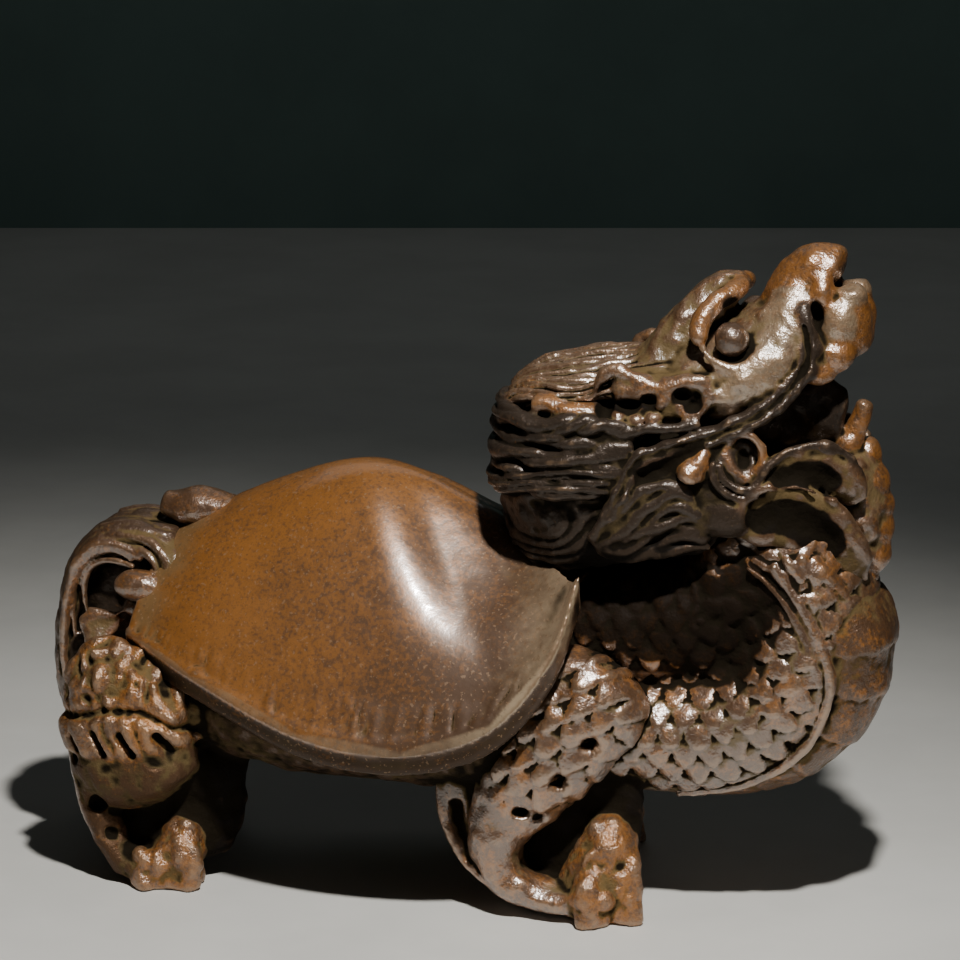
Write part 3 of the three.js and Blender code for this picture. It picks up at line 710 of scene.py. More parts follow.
def neck_scales(points):
    """Scales that hang in rows along the neck, with their free edges towards the belly.

    Behind the bend a scale's place is its distance along the body and down from the bend's
    height. Past the bend's middle it is the angle round it and the distance from it.
    """
    x, z = points[:, 0], points[:, 2]
    turn = np.arctan2(x - BEND[0], BEND[1] - z)
    behind = x < BEND[0]
    wander = 0.22 * noise(points, 2.2, 4)
    down = np.where(behind, BEND[1] - z, np.hypot(x - BEND[0], BEND[1] - z)) + wander

    def across_row(row):
        """Distance along a row: straight behind the bend and round its arc in front of it."""
        radius = np.maximum((row + 0.8) * SCALE_LONG, 2.0)
        return np.where(behind, x, BEND[0] + radius * turn) + wander

    rough = 1.0 + 0.3 * noise(points, 3.0, 3)
    return scales(down, across_row, SCALE_LONG, SCALE_WIDE) * rough - 0.4


def arm_scales(points):
    """Scales on the upper arm, with their free edges towards the elbow, fading out below it."""
    shoulder, elbow = np.array(UPPER_ARM[0]), np.array(UPPER_ARM[1])
    down = (elbow - shoulder) / np.linalg.norm(elbow - shoulder)
    place = points[:, (0, 2)] - shoulder
    wander = 0.3 * noise(points, 1.8, 34)
    along = place @ down + wander
    across = place @ np.array([down[1], -down[0]]) + 0.4 * points[:, 1] + wander
    height = scales(along, lambda row: across, ARM_SCALE, ARM_SCALE)
    return 1.2 * (height - 0.4) * (1.0 - smooth(along, *ARM_FADE))


def throat_relief(points, along, angle):
    """Broad plates one after another, each rising to its free edge, with shallow dents."""
    place = along / THROAT_PLATE_LONG + 0.12 * noise(points, 2.5, 5)
    step = np.mod(-place, 1.0)
    return 0.3 * step**2 + 0.25 * noise(points, 2.2, 6)


def trunk_steps():
    """The body, the neck with the crop behind it, the throat's plates and the ridges beside them."""
    steps = add([limb(BODY, lumps((0.25, 2.5, 8)), square=2.6, step=0.35)], "belly")
    steps += add([limb(CROP, lumps((0.3, 2.4, 9)), step=COARSE)], "scaled", 1.6)
    steps += add([limb(NECK, lumps((0.15, 2.4, 10)), step=COARSE)], "scaled", 1.6)
    steps += add([limb(THROAT_PLATES, throat_relief, square=2.4)], "throat", 0.5)
    ridges = add([cord(NECK_RIDGE, 0.42)], "worn", 0.4)
    ridges += add([cord(NECK_RIDGE_INNER, 0.28)], "brown", 0.3)
    ridges += add([cord(pleat, 0.6, lumps((0.14, 0.9, 16))) for pleat in THROAT_PLEATS], "worn", 0.4)
    ridges += cut([cord(CHEST_CRACK, 0.28)])
    return steps + on_both(ridges)


# The front leg drops to an elbow and comes forward along the floor to a raised paw.
FRONT_ARM = [
    (13.4, 6.4, 21.6, 3.8, 5), (11.4, 8.2, 18.4, 3.8, 4.9), (8.4, 9, 14.2, 3.5, 4.3),
    (5.4, 9.4, 9.8, 3, 3.5), (4.1, 9.6, 5.8, 2.6, 2.4), (5.6, 9.6, 2.8, 2.6, 1.7),
    (9.4, 9.4, 1.6, 2.6, 1.5), (12.4, 9.2, 1.8, 2.6, 1.6),
]
ARM_FIN = [
    (1.6, 9, 13.6, 0.8, 2.4), (1.1, 9.2, 9.6, 0.8, 2.4), (2.2, 9.4, 6, 0.8, 2.2),
    (5, 9.6, 2.8, 0.9, 1.6),
]
ARM_FIN_RIM = [
    (-0.9, 9, 11.4), (-1, 9, 9.7), (-0.6, 9.3, 8.1), (0.2, 9.8, 6.4), (1.7, 10.2, 4.1),
    (4.4, 10.8, 2.4), (7.8, 11.2, 1.3), (11, 11.4, 1.2),
]
ARM_FIN_HOLLOW = [(0.5, 10.2, 9.8, 1.2, 0.7), (0.8, 10.6, 7.6, 1.2, 0.8), (2.2, 11, 5.2, 1, 0.6)]
ARM_WEB = [(10.4, 6, 16, 2, 5.4), (10.3, 6.4, 9, 1.8, 5.7), (10.7, 7, 1.4, 1.8, 5)]
WRIST_HOLLOW = [(6.2, 12.2, 4.9, 1.6, 0.7), (8.6, 11.8, 6.2, 2.4, 1.2), (10.8, 11.6, 7.6, 2, 0.8)]
FRONT_HAND = [
    (12.9, 7.4, 8.6, 2, 1.5), (13.4, 8, 6.2, 2.6, 2.4), (12.9, 8.6, 2.6, 3, 3.3),
    (12.8, 8.8, -1, 3, 3.5),
]
FRONT_TOES = [
    [(12.6, 9.6, 4.2, 1.5, 1.6), (12.6, 11, 2.6, 1.5, 1.9), (12.8, 11, -0.8, 1.3, 1.8)],
    [(14.6, 8.4, 5.6, 1.5, 1.2), (15.2, 9.8, 4, 1.5, 1.1), (15.5, 10, -0.8, 1.4, 1.1)],
]
PAW_CURL = [
    (11.9, 11, 5), (12.4, 10.8, 6), (13.4, 10.5, 6.2), (14.2, 10.4, 5.4), (13.6, 10.9, 4.7),
    (12.9, 11.2, 5),
]
BIG_TOE = ((12.8, 11.6, 2.3), (2, 1.2, 1.2))
ARM_HOLES = [
    ((12.5, 11.8, 16), (1, 1.8, 0.8)), ((9.9, 12.2, 12.7), (0.95, 1.8, 0.85)),
    ((6.8, 12.4, 9.7), (0.8, 1.8, 0.5)), ((8.2, 12.5, 9.2), (0.9, 1.8, 0.75)),
]


# Shares by which places are stretched before a crumpled noise, so that its creases run upright.
UPRIGHT = (1.7, 1.4, 0.5)

knobbly = lumps((0.22, 1.7, 11), (0.14, 0.9, 12))


def rocky(strength):
    """A relief of broken lumps: sharp creases where one noise changes sign, over a finer one."""

    def relief(points, along, angle):
        """The lumps at these points, at that strength."""
        creased = np.abs(noise(points * UPRIGHT, 1.6, 22)) ** 0.7
        return strength * (0.25 * noise(points, 0.75, 23) + 0.7 * creased - 0.2)

    return relief


def front_leg_steps():
    """One front leg: the arm, the fin behind it with its rim, the web and the paw."""
    stony = rocky(0.7)
    steps = add([limb(ARM_WEB, knobbly)], "deep")
    steps += add([limb(ARM_FIN)], "brown", 0.3) + cut([limb(ARM_FIN_HOLLOW)])
    steps += add([limb(FRONT_ARM, knobbly)], "armoured")
    steps += cut([limb(WRIST_HOLLOW)], None, 0.4)
    steps += add([cord(ARM_FIN_RIM, 0.42)], "orange", 0.3)
    steps += add([limb(FRONT_HAND, stony)], "paw")
    steps += add([limb(toe, stony, across=FORWARD) for toe in FRONT_TOES], "paw", 0.25)
    steps += add([cord(PAW_CURL, 0.36), bead(*BIG_TOE)], "paw", 0.2)
    return steps


# The rear leg is a folded haunch over a heel, with a paw held forward under it.
HAUNCH = [
    (-27.4, 7, 20, 3, 3.4), (-28.4, 8, 17.4, 4.2, 5.6), (-28.2, 8.4, 13, 4.5, 6),
    (-27.6, 8.6, 10.4, 3.4, 4.6),
]
CALF = [
    (-28, 8.2, 14, 3.6, 4.6), (-28, 8.5, 11.6, 4.45, 5.7), (-27.4, 8.8, 9, 4.2, 5.1),
    (-26.6, 9, 6.6, 2.8, 3.2),
]
HEEL = [
    (-33, 9, 12, 1.8, 1.4), (-31.6, 9.4, 8.4, 2, 1.5), (-30.8, 9.6, 5, 2, 1.5),
    (-29.2, 9.8, 2.2, 2.2, 1.4), (-26.6, 10, 1.4, 2.2, 1.5),
]
HEEL_RIM = [
    (-34, 9.8, 13.8), (-33.5, 10.2, 10.1), (-32.6, 10.6, 6.8), (-31.6, 10.8, 4.6), (-30.1, 11, 2.9),
    (-27.9, 11.2, 1.7),
]
HEEL_PITS = [
    ((-31, 11.4, 7.2), (0.9, 1.2, 0.8)), ((-32.8, 11, 11.2), (0.5, 1, 0.5)),
    ((-29.6, 11.6, 4.6), (0.8, 1, 0.7)),
]
SHIN = [(-25.8, 6, 12, 3, 6.4), (-25.3, 6.4, 7, 2.8, 6.2), (-26, 7.4, 1.4, 2.8, 4.8)]
SHIN_HOLLOW = [
    (-29.4, 11.8, 4.8, 1.8, 0.9), (-26.6, 11.8, 6.2, 2.2, 0.9), (-23.4, 11.2, 7, 1.8, 0.8),
]
REAR_PAW = [
    (-23.2, 8.4, 5.2, 2, 1.1), (-24, 9.2, 3.8, 2.4, 2), (-24.7, 9.8, 1.4, 2.4, 2.7),
    (-24.8, 9.8, -1, 2.4, 2.7),
]
REAR_TOES = [
    [(-26, 10.6, 3, 1.3, 1.3), (-26.4, 11.4, 1.8, 1.3, 1.2), (-26.4, 11.4, -0.8, 1.3, 1.1)],
    [(-23.6, 10, 4, 1.3, 1.2), (-23.2, 11, 2.6, 1.3, 1.2), (-23.2, 11, -0.8, 1.2, 1.2)],
]
HAUNCH_SLOTS = [
    ([(-33, 12.2, 13.6), (-32.3, 12.4, 12)], 0.28), ([(-30.8, 13, 14.3), (-29.6, 13.2, 12)], 0.3),
    ([(-28.4, 13.4, 14.4), (-26.9, 13.6, 12)], 0.42),
    ([(-25.3, 13.2, 14.4), (-23.5, 13, 12.2)], 0.5),
]
SLOT_DEPTH = 1.5
# The haunch's crack as X and Z, its depth and half width, where the tongues under it lie along X,
# and the heights between which they fade out.
CRACK = (
    (-33.8, -31.7, -29.6, -27.3, -25.6, -23.7, -21.5), (14.8, 15.3, 15.9, 16, 15.6, 14.7, 13.9),
)
CRACK_DEPTH = 0.8
CRACK_HALF = 0.36
TONGUES = (-35, -33.2, -30.9, -29.6, -28.3, -26.7, -25.1, -23.4, -21.5, -19.5)
TONGUE_FEET = (11.3, 12.2)


def haunch_relief(points, along, angle):
    """Creased rock over a crack across the haunch, with a row of rounded tongues under it."""
    x, z = points[..., 0], points[..., 2]
    outward = smooth(points[..., 1], 7.0, 10.0)
    crack = np.interp(x, *CRACK) + 0.25 * noise(points, 1.4, 17)
    column = np.interp(x + 0.35 * (z - 15.0), TONGUES, np.arange(len(TONGUES)))
    ribs = np.abs(np.sin(math.pi * (column + 0.25 * noise(points, 1.8, 20)))) ** 0.5
    over = smooth(z, crack - 0.1, crack + 0.3)
    crumpled = np.abs(noise(points * UPRIGHT, 1.5, 21)) ** 0.7
    plates = over * (0.5 * ribs + 1.2 * crumpled + 0.35 * noise(points, 0.8, 14) - 0.6)
    tongue = (1.0 - over) * smooth(z, *TONGUE_FEET)
    fringe = tongue * (0.15 + 0.55 * ribs)
    split = CRACK_DEPTH * np.exp(-(((z - crack) / CRACK_HALF) ** 2))
    return outward * (plates + fringe - split) + 0.2 * noise(points, 1.7, 15)


def rear_leg_steps():
    """One rear leg: the haunch, the heel, the shin and the paw."""
    stony = rocky(1.0)
    slots = [
        limb([(*place, SLOT_DEPTH, half) for place in slot], cap=1.0) for slot, half in HAUNCH_SLOTS
    ]
    steps = add([limb(SHIN, knobbly, step=COARSE)], "deep")
    steps += add([limb(HEEL, knobbly)], "calf")
    steps += add([limb(HAUNCH, haunch_relief, square=2.4, step=FINE)], "haunch", 0.4)
    steps += add([limb(CALF, knobbly, square=2.4)], "calf", 0.5)
    steps += cut([limb(SHIN_HOLLOW)], None, 0.4) + cut(slots, None, 0.15)
    steps += cut(beads(HEEL_PITS), None, 0.3)
    steps += add([cord(HEEL_RIM, 0.32)], "worn", 0.4)
    steps += add([limb(REAR_PAW, stony)], "paw", 0.3)
    steps += add([limb(toe, stony, across=FORWARD) for toe in REAR_TOES], "paw", 0.3)
    return steps


# The tail rolls over like a breaking wave and ends on the shell, over curls round a knob.
TAIL_WAVE = [
    (-35.8, 0, 11, 3, 1.2), (-36.7, 0, 16, 3.4, 1.2), (-36.4, 0, 21.6, 3.6, 1.2),
    (-35.2, 0, 25.6, 3.8, 1.4), (-33, 0, 28, 4, 1.6), (-29.6, 0, 28.6, 4, 1.7),
    (-26, 0, 28, 3.8, 1.8),
]
TAIL_WALL = [
    (-33.2, 0, 12, 2.6, 3.6), (-33.2, 0, 19, 2.4, 3.8), (-31.2, 0, 24.2, 2.4, 4),
    (-27, 0, 26, 3, 3),
]
TAIL_ROOT = [(-28, 2.6, 27.8, 1.6, 1.4), (-26, 4, 26.6, 1.6, 1.8), (-25.4, 5, 24, 1.5, 1.6)]
TAIL_BUD = [
    (-21, 0, 31.6, 1.6, 0.9), (-23, 0, 31.2, 2, 1.5), (-25.2, 0, 31.2, 2.1, 1.85),
    (-27.2, 0, 31.4, 1.5, 1.3), (-28.4, 0, 31.6, 1.1, 1),
]
BUD_PIT = ((-28.1, 1.1, 32.3), (0.4, 0.5, 0.35))
TAIL_RIDGE = [
    (-36.4, 3.6, 15.7), (-36.5, 3.7, 19.1), (-36.1, 3.8, 22.7), (-35.2, 3.9, 26.1),
    (-33.8, 4, 27.8), (-32, 4.1, 28.4), (-29.9, 4.2, 28), (-28.8, 4.4, 27.3),
]
TAIL_INNER_RIDGE = [
    (-34.4, 3, 21.4), (-34.6, 3.4, 24.1), (-33.9, 3.7, 26), (-32.6, 3.9, 26.8), (-31, 4.1, 26.9),
    (-29.5, 4.5, 26.6),
]
TAIL_MIDDLE_RIDGE = [
    (-35.5, 3.5, 19.6), (-35.5, 3.7, 23.4), (-34.7, 3.9, 26), (-33.2, 4.1, 27.5),
    (-31.4, 4.2, 27.9), (-29.6, 4.4, 27.2),
]
TAIL_WRAP = [
    (-32, 3.6, 29), (-30, 3.8, 29.1), (-28.2, 4.2, 28.9), (-26.9, 4.8, 28.1), (-26.2, 5.2, 27),
    (-26, 5.4, 25.6), (-26.5, 5.6, 24),
]
TAIL_WRAP_INNER = [(-31.4, 3.8, 28.3), (-29.4, 4.1, 28.2), (-27.9, 4.8, 27.6), (-27.1, 5.2, 26.6)]
TAIL_TOP_LOCKS = [
    [(-33.3, 2.6, 29.6), (-31.1, 2.7, 30), (-29.3, 2.8, 29.9), (-27.4, 3, 29.3)],
    [(-32.7, 3.2, 29.2), (-30.6, 3.2, 29.6), (-28.7, 3.4, 29.4), (-26.6, 3.8, 28.6)],
]
TAIL_KNOBS = [((-28.7, 5.6, 25.3), (2.3, 1.6, 1.4)), ((-28.3, 5, 23.2), (1.9, 1.3, 1.1))]
TAIL_SLAB = ((-34.9, 3.2, 17.6), (1.4, 0.9, 2.6))
TAIL_LEAF = [
    [
        (-34.3, 5, 21.6, 0.35, 0.3), (-33, 5.2, 22.2, 0.45, 0.45), (-31.4, 5.3, 22.4, 0.45, 0.4),
        (-29.8, 5.3, 23.1, 0.3, 0.2),
    ],
    [
        (-34, 5, 21.4, 0.35, 0.3), (-33.4, 5.5, 20.4, 0.5, 0.5), (-32.9, 5.9, 19.2, 0.6, 0.6),
        (-31.6, 6.5, 17.8, 0.7, 0.7),
    ],
]
TAIL_LEAF_SHEET = [
    (-31.9, 5, 22.7, 0.35, 2), (-32.2, 5.2, 21.6, 0.5, 1.6), (-32.4, 5.6, 20, 0.7, 1),
    (-31.6, 6.3, 18.2, 0.8, 1.2),
]


def tail_locks(points, along, angle):
    """Shallow grooves that follow the wave from end to end."""
    wavy = angle + 0.12 * np.sin(along * 0.5)
    return 0.4 * (np.abs(np.sin(6.0 * wavy)) ** 0.5 - 1.0) + 0.18 * noise(points, 1.6, 18)


def tail_steps():
    """The wave, the thin wall under it, the bud on the shell, and the curls and knobs beside it."""
    uneven = lumps((0.2, 1.8, 19))
    steps = add([limb(TAIL_WALL, uneven)], "grey")
    steps += add([limb(TAIL_WAVE, tail_locks, square=3.2, step=FINE)], "brown", 0.3)
    steps += add([limb(TAIL_BUD, uneven)], "worn") + cut(beads([BUD_PIT]))
    sided = add([limb(TAIL_ROOT, uneven)], "olive", 1.0)
    sided += add(beads([TAIL_SLAB]), "grey", 0.5)
    arcs = [(TAIL_RIDGE, 0.45), (TAIL_MIDDLE_RIDGE, 0.28), (TAIL_INNER_RIDGE, 0.34)]
    sided += add([cord(path, half) for path, half in arcs], "worn", 0.2)
    sided += add([cord(TAIL_WRAP, 0.42), cord(TAIL_WRAP_INNER, 0.34)], "olive", 0.25)
    sided += add([cord(lock, 0.4) for lock in TAIL_TOP_LOCKS], "brown", 0.25)
    sided += add(beads(TAIL_KNOBS), "worn", 0.3)
    sided += add([limb(TAIL_LEAF_SHEET, uneven)], "crest", 0.3)
    sided += add([limb(strip, uneven, step=FINE) for strip in TAIL_LEAF], "crest", 0.5)
    return steps + on_both(sided)


# The head looks up along a slope. A crest stands over the brow, and the muzzle turns up.
SKULL = [
    (8, 0, 38, 7, 6), (14, 0, 40.8, 7.2, 6), (19.5, 0, 44.2, 6.6, 5.2), (24, 0, 47.2, 5.4, 4.2),
    (27.6, 0, 49.6, 4.4, 3.6), (29.6, 0, 51, 3.2, 3),
]
CREST = [
    (14.6, 0, 44.6, 4.8, 1.8), (17.2, 0, 48.2, 4, 1.9), (19.4, 0, 50.8, 3, 1.9),
    (21.2, 0, 52.6, 2, 1.6), (22.6, 0, 53.2, 1.2, 0.9),
]
CREST_EDGE = [
    (16, 2.4, 47.2), (17.1, 2.2, 49.8), (17.9, 1.8, 50.9), (18.9, 1.4, 52.1), (20.1, 1, 53.4),
    (21.4, 0.6, 53.9), (22.6, 0.4, 53.9), (23.2, 0.4, 53.2),
]
CREST_FLANK = [
    (23, 0.8, 53.8), (22.7, 1.8, 53.2), (22.1, 2.8, 52.8), (21.2, 3.8, 52.3), (20.4, 4.8, 51.3),
    (20.1, 5.4, 50.2), (20.5, 6, 49.2),
]
CREST_HOLLOW = [(18.2, 4.6, 49.6, 1.1, 0.6), (19.6, 4, 51, 1, 0.6), (21, 3, 52, 0.8, 0.4)]
CREST_SLOTS = [
    ([(19.4, 5.4, 49.6), (18.8, 5.6, 48.4), (18.2, 5.8, 47.2)], 0.5),
    ([(20.1, 6, 48.8), (19.7, 6.2, 47.8), (19.3, 6.4, 47)], 0.32),
]
EYE = (22.9, 5.6, 49.7)
EYE_RADIUS = 1.45
EYE_SOCKET = ((23, 6.6, 50.2), (2.1, 1.9, 2.4))
BROW_HOLLOW = ((22.9, 4.8, 51.9), (0.9, 2, 1.1))
EYE_RIM = [
    (20.5, 6, 49.2), (21, 6.3, 48.3), (21.6, 6.4, 47.8), (22.4, 6.5, 47.4), (23.3, 6.5, 47.3),
    (24.3, 6.2, 47.6), (25.1, 5.8, 48.3), (25.5, 5.3, 49),
]
NOSE = [
    (26, 0, 49.4, 3, 3), (27.2, 0, 52.2, 2.8, 2.7), (28.4, 0, 54.4, 2.6, 2.3),
    (29.9, 0, 55.2, 2.4, 1.8), (31.2, 0, 54.9, 2, 1.4),
]
MUZZLE = [
    (20.6, 4.8, 44.8, 2.2, 2.4), (23.6, 4.8, 46, 2.3, 2.5), (26, 3.8, 48, 2.2, 2.5),
    (27.2, 2.6, 51, 1.8, 2.2), (27.6, 1.6, 53.4, 1.4, 1.6),
]
FRONT_LIP = [(29.4, 0, 47.8, 3, 1.9), (30.8, 0, 49.8, 2.8, 2), (31.6, 0, 52, 2, 1.5)]
NOSE_LUMPS = [
    ((30.9, 2.4, 48.2), (1.7, 1.6, 1.5)), ((29.6, 3.2, 46.7), (1.4, 1.3, 1)),
    ((32.6, 1, 51), (1.1, 1.4, 1.7)), ((32.4, 0.6, 49.2), (1.2, 1.4, 1.3)),
    ((29.8, 2.3, 53.2), (1, 1.1, 1.4)),
]
NOSE_PALE_LUMPS = [((32.1, 1.4, 53), (1.2, 1.3, 1.1)), ((31.2, 2.2, 50.8), (1.5, 1.5, 1.9))]
NOSTRIL = ((29.3, 3.9, 51.3), (0.75, 1.9, 1.5))
NOSE_NOTCH = ((31.7, 2.4, 54), (1.1, 1.6, 0.4))
LIP = [
    (28.2, 3.4, 52.6), (28.6, 3.8, 51), (29, 4, 49.4), (29, 4.3, 47.9), (28.4, 4.8, 46.6),
    (27.4, 5.4, 45.3), (26, 6.2, 44.1), (24.1, 6.8, 43), (22.1, 7.3, 42), (20, 7.8, 41.3),
    (17.9, 8.2, 40.6), (16, 8.6, 39.8), (15.2, 8.9, 38.7), (14.5, 9.2, 37.1), (13.4, 9.3, 35),
    (11.9, 9.2, 32.8),
]
LIP_GROOVE = [(x, out + 0.8, z) for x, out, z in LIP[1:-1]]
TEMPLE = [(12.6, 5.6, 44, 2.1, 2.5), (16.4, 5.7, 44.4, 2.1, 2.3), (20.6, 5.6, 44.8, 1.8, 1.9)]
HORN = [
    (14, 6.8, 42.8, 1.2, 1), (10.4, 7.6, 43.2, 1, 0.9), (8, 7.4, 43.8, 0.9, 0.8),
    (6.6, 7.2, 43.8, 0.7, 0.6),
]
HORN_RIDGE = [(6.4, 8, 43.1), (8.2, 8.6, 42.4), (10.4, 8.9, 41.4), (12.5, 9, 40.7), (15, 8.9, 40.2)]
EAR = [
    (11.9, 7, 44.6), (12.3, 7.2, 45.9), (12.9, 7.2, 46.7), (13.6, 7.1, 46.9), (14.7, 7.1, 46.4),
    (15.9, 7.2, 45.9), (17.1, 7.2, 45.5), (18.2, 7.1, 45),
]
EAR_HOLLOWS = [
    ((12.8, 7.6, 44.3), (0.75, 1.5, 1.6)), ((14.7, 7.8, 44.2), (1.1, 1.3, 0.55)),
    ((16.4, 7.7, 44.6), (0.7, 1, 0.45)),
]
EAR_LUMP = ((14.3, 6.9, 45.4), (1, 0.9, 0.8))
ROSETTE = [
    (17.8, 7.1, 44.6), (18.2, 7.1, 45.6), (19.2, 7.1, 46.2), (20.4, 7.1, 46.3), (21.2, 6.9, 45.6),
    (21.2, 6.9, 44.6), (20.3, 7.2, 43.8), (19.1, 7.3, 43.5),
]
ROSETTE_HOLLOWS = [((19.2, 7.9, 45.1), (0.75, 1.4, 0.65)), ((20.1, 7.9, 44.4), (0.7, 1.2, 0.5))]
TEMPLE_LUMPS = [
    ((10.9, 7.8, 43.2), (0.8, 0.7, 0.6)), ((12.4, 7.9, 42.9), (0.8, 0.7, 0.55)),
    ((13.9, 7.9, 43.2), (0.8, 0.7, 0.6)), ((15.4, 7.9, 43), (0.8, 0.7, 0.55)),
    ((16.9, 7.8, 43.2), (0.8, 0.7, 0.6)), ((17.3, 7.6, 44.4), (0.6, 0.6, 0.5)),
]
TEMPLE_EDGE = [
    (10.6, 8.5, 42.1), (12.4, 8.6, 41.8), (14.9, 8.6, 42), (16.6, 8.4, 42.4), (18.7, 8.1, 42.5),
    (20.8, 7.8, 42.9),
]
MANE = [
    (11.6, 0, 29.4, 6.8, 6.4), (11.2, 0, 32.2, 8.5, 8.1), (11.2, 0, 36, 8.9, 8.8),
    (11.2, 0, 39, 8.5, 8.3), (11, 0, 42, 8.3, 8.2), (10.6, 0, 44.2, 7.2, 7.4),
]
MANE_CAP = 0.12
MANE_LOCKS = [
    [
        (15.6, 8, 42.3), (12, 8.9, 42.2), (8.4, 8.8, 42.6), (5.2, 7.4, 43), (3.3, 4.6, 43.2),
        (2.9, 0, 43.2),
    ],
    [
        (15.2, 8.6, 39.8), (11.8, 9.2, 39.6), (8.2, 9, 39.4), (5, 7.7, 39.9), (3, 4.8, 40.2),
        (2.5, 0, 40.2),
    ],
    [
        (14.8, 8.9, 37.8), (11.5, 9.3, 37), (8, 9.1, 36.6), (4.8, 7.8, 37), (2.9, 4.9, 37.4),
        (2.4, 0, 37.4),
    ],
]
MANE_LOCK_COUNT = 8
CROWN = [
    (4.8, 0, 43, 5.4, 1), (8, 0, 44.4, 6.2, 1.5), (12, 0, 45.1, 6, 1.7), (15.4, 0, 45.8, 5, 1.5),
]
CROWN_LOCKS = [
    [(16, 6, 45), (12.4, 6.8, 44.8), (8.6, 6.9, 44.5), (5.6, 6.2, 44.1), (3.8, 5, 43.6)],
    [(16.4, 3.2, 46.6), (12.8, 3.4, 46.4), (9, 3.6, 45.9), (6, 3.4, 45.2), (3.7, 2.8, 44.1)],
    [(16.6, 0.3, 47.2), (12.8, 0.4, 46.9), (9, 0.4, 46.3), (6, 0.4, 45.4), (3.5, 0.4, 44.2)],
]
CROWN_LOCK_COUNT = 9
CHEEK = [
    (13.6, 6.6, 35.2, 2, 3.2), (17.5, 6.6, 37.2, 2, 3.8), (21.5, 5.8, 38.4, 2.2, 3.8),
    (25.4, 4.8, 38.8, 2, 3),
]
BEARD = [
    (22.4, 5.8, 34.6, 2, 2.8), (19, 6.4, 34.8, 2, 3.4), (15.6, 7, 34.2, 1.9, 3),
    (13, 7.4, 32.9, 1.5, 1.7),
]
BEARD_LOCKS = [
    [(20.2, 8.2, 37.2), (18.2, 8.7, 38.1), (16.4, 9, 37.4), (14.4, 9.2, 35.2), (12, 9.1, 32.8)],
    [(21, 8, 35.2), (19.2, 8.6, 35.9), (17.2, 9, 35.1), (15, 9.2, 33.5), (12.3, 9.1, 32.4)],
    [(21.8, 7.4, 32.4), (19.4, 8.1, 32.6), (17.2, 8.5, 31.9), (15.1, 8.7, 31.4), (12.5, 8.8, 31.9)],
]
BEARD_LOCK_COUNT = 9
BEARD_LOBE = ((23.1, 6.9, 35.2), (2, 1.6, 1.9))
CHEEK_HOLLOW = [(15.8, 9.6, 38.4, 1, 0.6), (18.4, 9.4, 39.6, 1, 0.7), (21.4, 9, 41.2, 1, 0.5)]
CHEEK_KNOB = [
    (21.4, 7.8, 40.9, 0.5, 0.5), (20.9, 8, 40, 0.85, 0.8), (20.1, 8.1, 38.8, 1.3, 1.2),
    (19.9, 8, 38.2, 0.8, 0.8),
]
RING = [
    (22.9, 7.1, 41.2), (23.8, 7, 41.9), (24.9, 6.9, 41.9), (25.7, 6.7, 41.1), (25.7, 6.7, 39.8),
    (25, 6.9, 38.7), (24.3, 7.1, 38.4), (23.5, 7.3, 39.2), (22.8, 7.3, 40.2), (22.9, 7.1, 41.1),
]
RING_HOLLOW = ((24.3, 7.6, 40.2), (0.8, 1.6, 1.2))
CHEEK_FOLDS = [
    [(22, 8, 40), (21.9, 8.1, 38.9), (22.4, 8.1, 37.8), (23.8, 7.9, 36.9), (25.7, 7.4, 36.9)],
    [(22.4, 7.9, 39.7), (22.7, 8, 38.7), (23.4, 8, 38), (24.5, 7.8, 37.6), (25.8, 7.3, 37.7)],
]
MOUTH_WALL = [
    (21, 0, 41.4, 4, 3.4), (26.6, 0, 42.4, 2.4, 3.6), (30, 0, 42.8, 1.4, 2.8),
    (31.6, 0, 42.6, 1, 2),
]
TONGUE = [
    (30.6, 0.3, 38.4, 1.5, 1.3), (32.1, 0.5, 40.8, 1.1, 1), (32.8, 0.7, 42.6, 0.95, 0.85),
    (33.2, 0.7, 43.8, 0.9, 0.8),
]
JAW = [
    (18, 0, 36, 7, 4.2), (23, 0, 36.6, 6.8, 3.6), (27, 0, 37, 5.8, 2.8), (30.6, 0, 37, 4.4, 2.6),
    (33, 0, 35.6, 3, 2.2),
]
JAW_LEAF = [
    (25.6, 6.2, 37.8, 0.9, 1), (27.4, 5.9, 38.9, 0.9, 1.6), (29.2, 5.4, 39.2, 0.9, 1.8),
    (31, 4.8, 38.7, 0.8, 1.8), (32.4, 4, 37.4, 0.8, 1.6), (33.1, 3.2, 36, 0.8, 1.3),
]
JAW_RIM = [
    (25.2, 7.4, 37.4), (25.7, 7.3, 38.5), (26.5, 7, 39.6), (27.7, 6.4, 40.5), (29.2, 5.8, 41),
    (30.8, 5.2, 41), (32.1, 4.6, 40.4), (33, 4, 39.2), (33.5, 3.4, 37.8), (33.6, 3, 36.2),
]
JAW_HOLLOW = [
    (26.8, 7.8, 38.2, 1.1, 0.6), (28.6, 7.4, 38.9, 1.2, 1.1), (30.4, 6.7, 38.8, 1.2, 1.2),
    (32, 5.6, 37.4, 1.1, 0.9),
]
THROAT_ARC = [
    (23.6, 6, 34.2, 1, 1.4), (25.4, 6.2, 34.8, 1, 2.4), (27.6, 6, 35.2, 1, 2.9),
    (29.6, 5.6, 34.8, 1, 2.9), (31.2, 4.8, 33.4, 1, 2.5), (32.6, 3.8, 31.4, 0.9, 1.8),
    (33.6, 2.6, 29.4, 0.8, 1),
]
THROAT_RIM = [
    (24, 7.7, 34.4), (24.3, 7.7, 36), (25.1, 7.5, 37.1), (26.5, 7.3, 37.8), (28.3, 6.9, 38.1),
    (30, 6.5, 37.8), (31.4, 5.9, 36.7), (32.4, 5.1, 34.8), (33.3, 4.2, 32.5), (34.1, 3, 29.2),
]
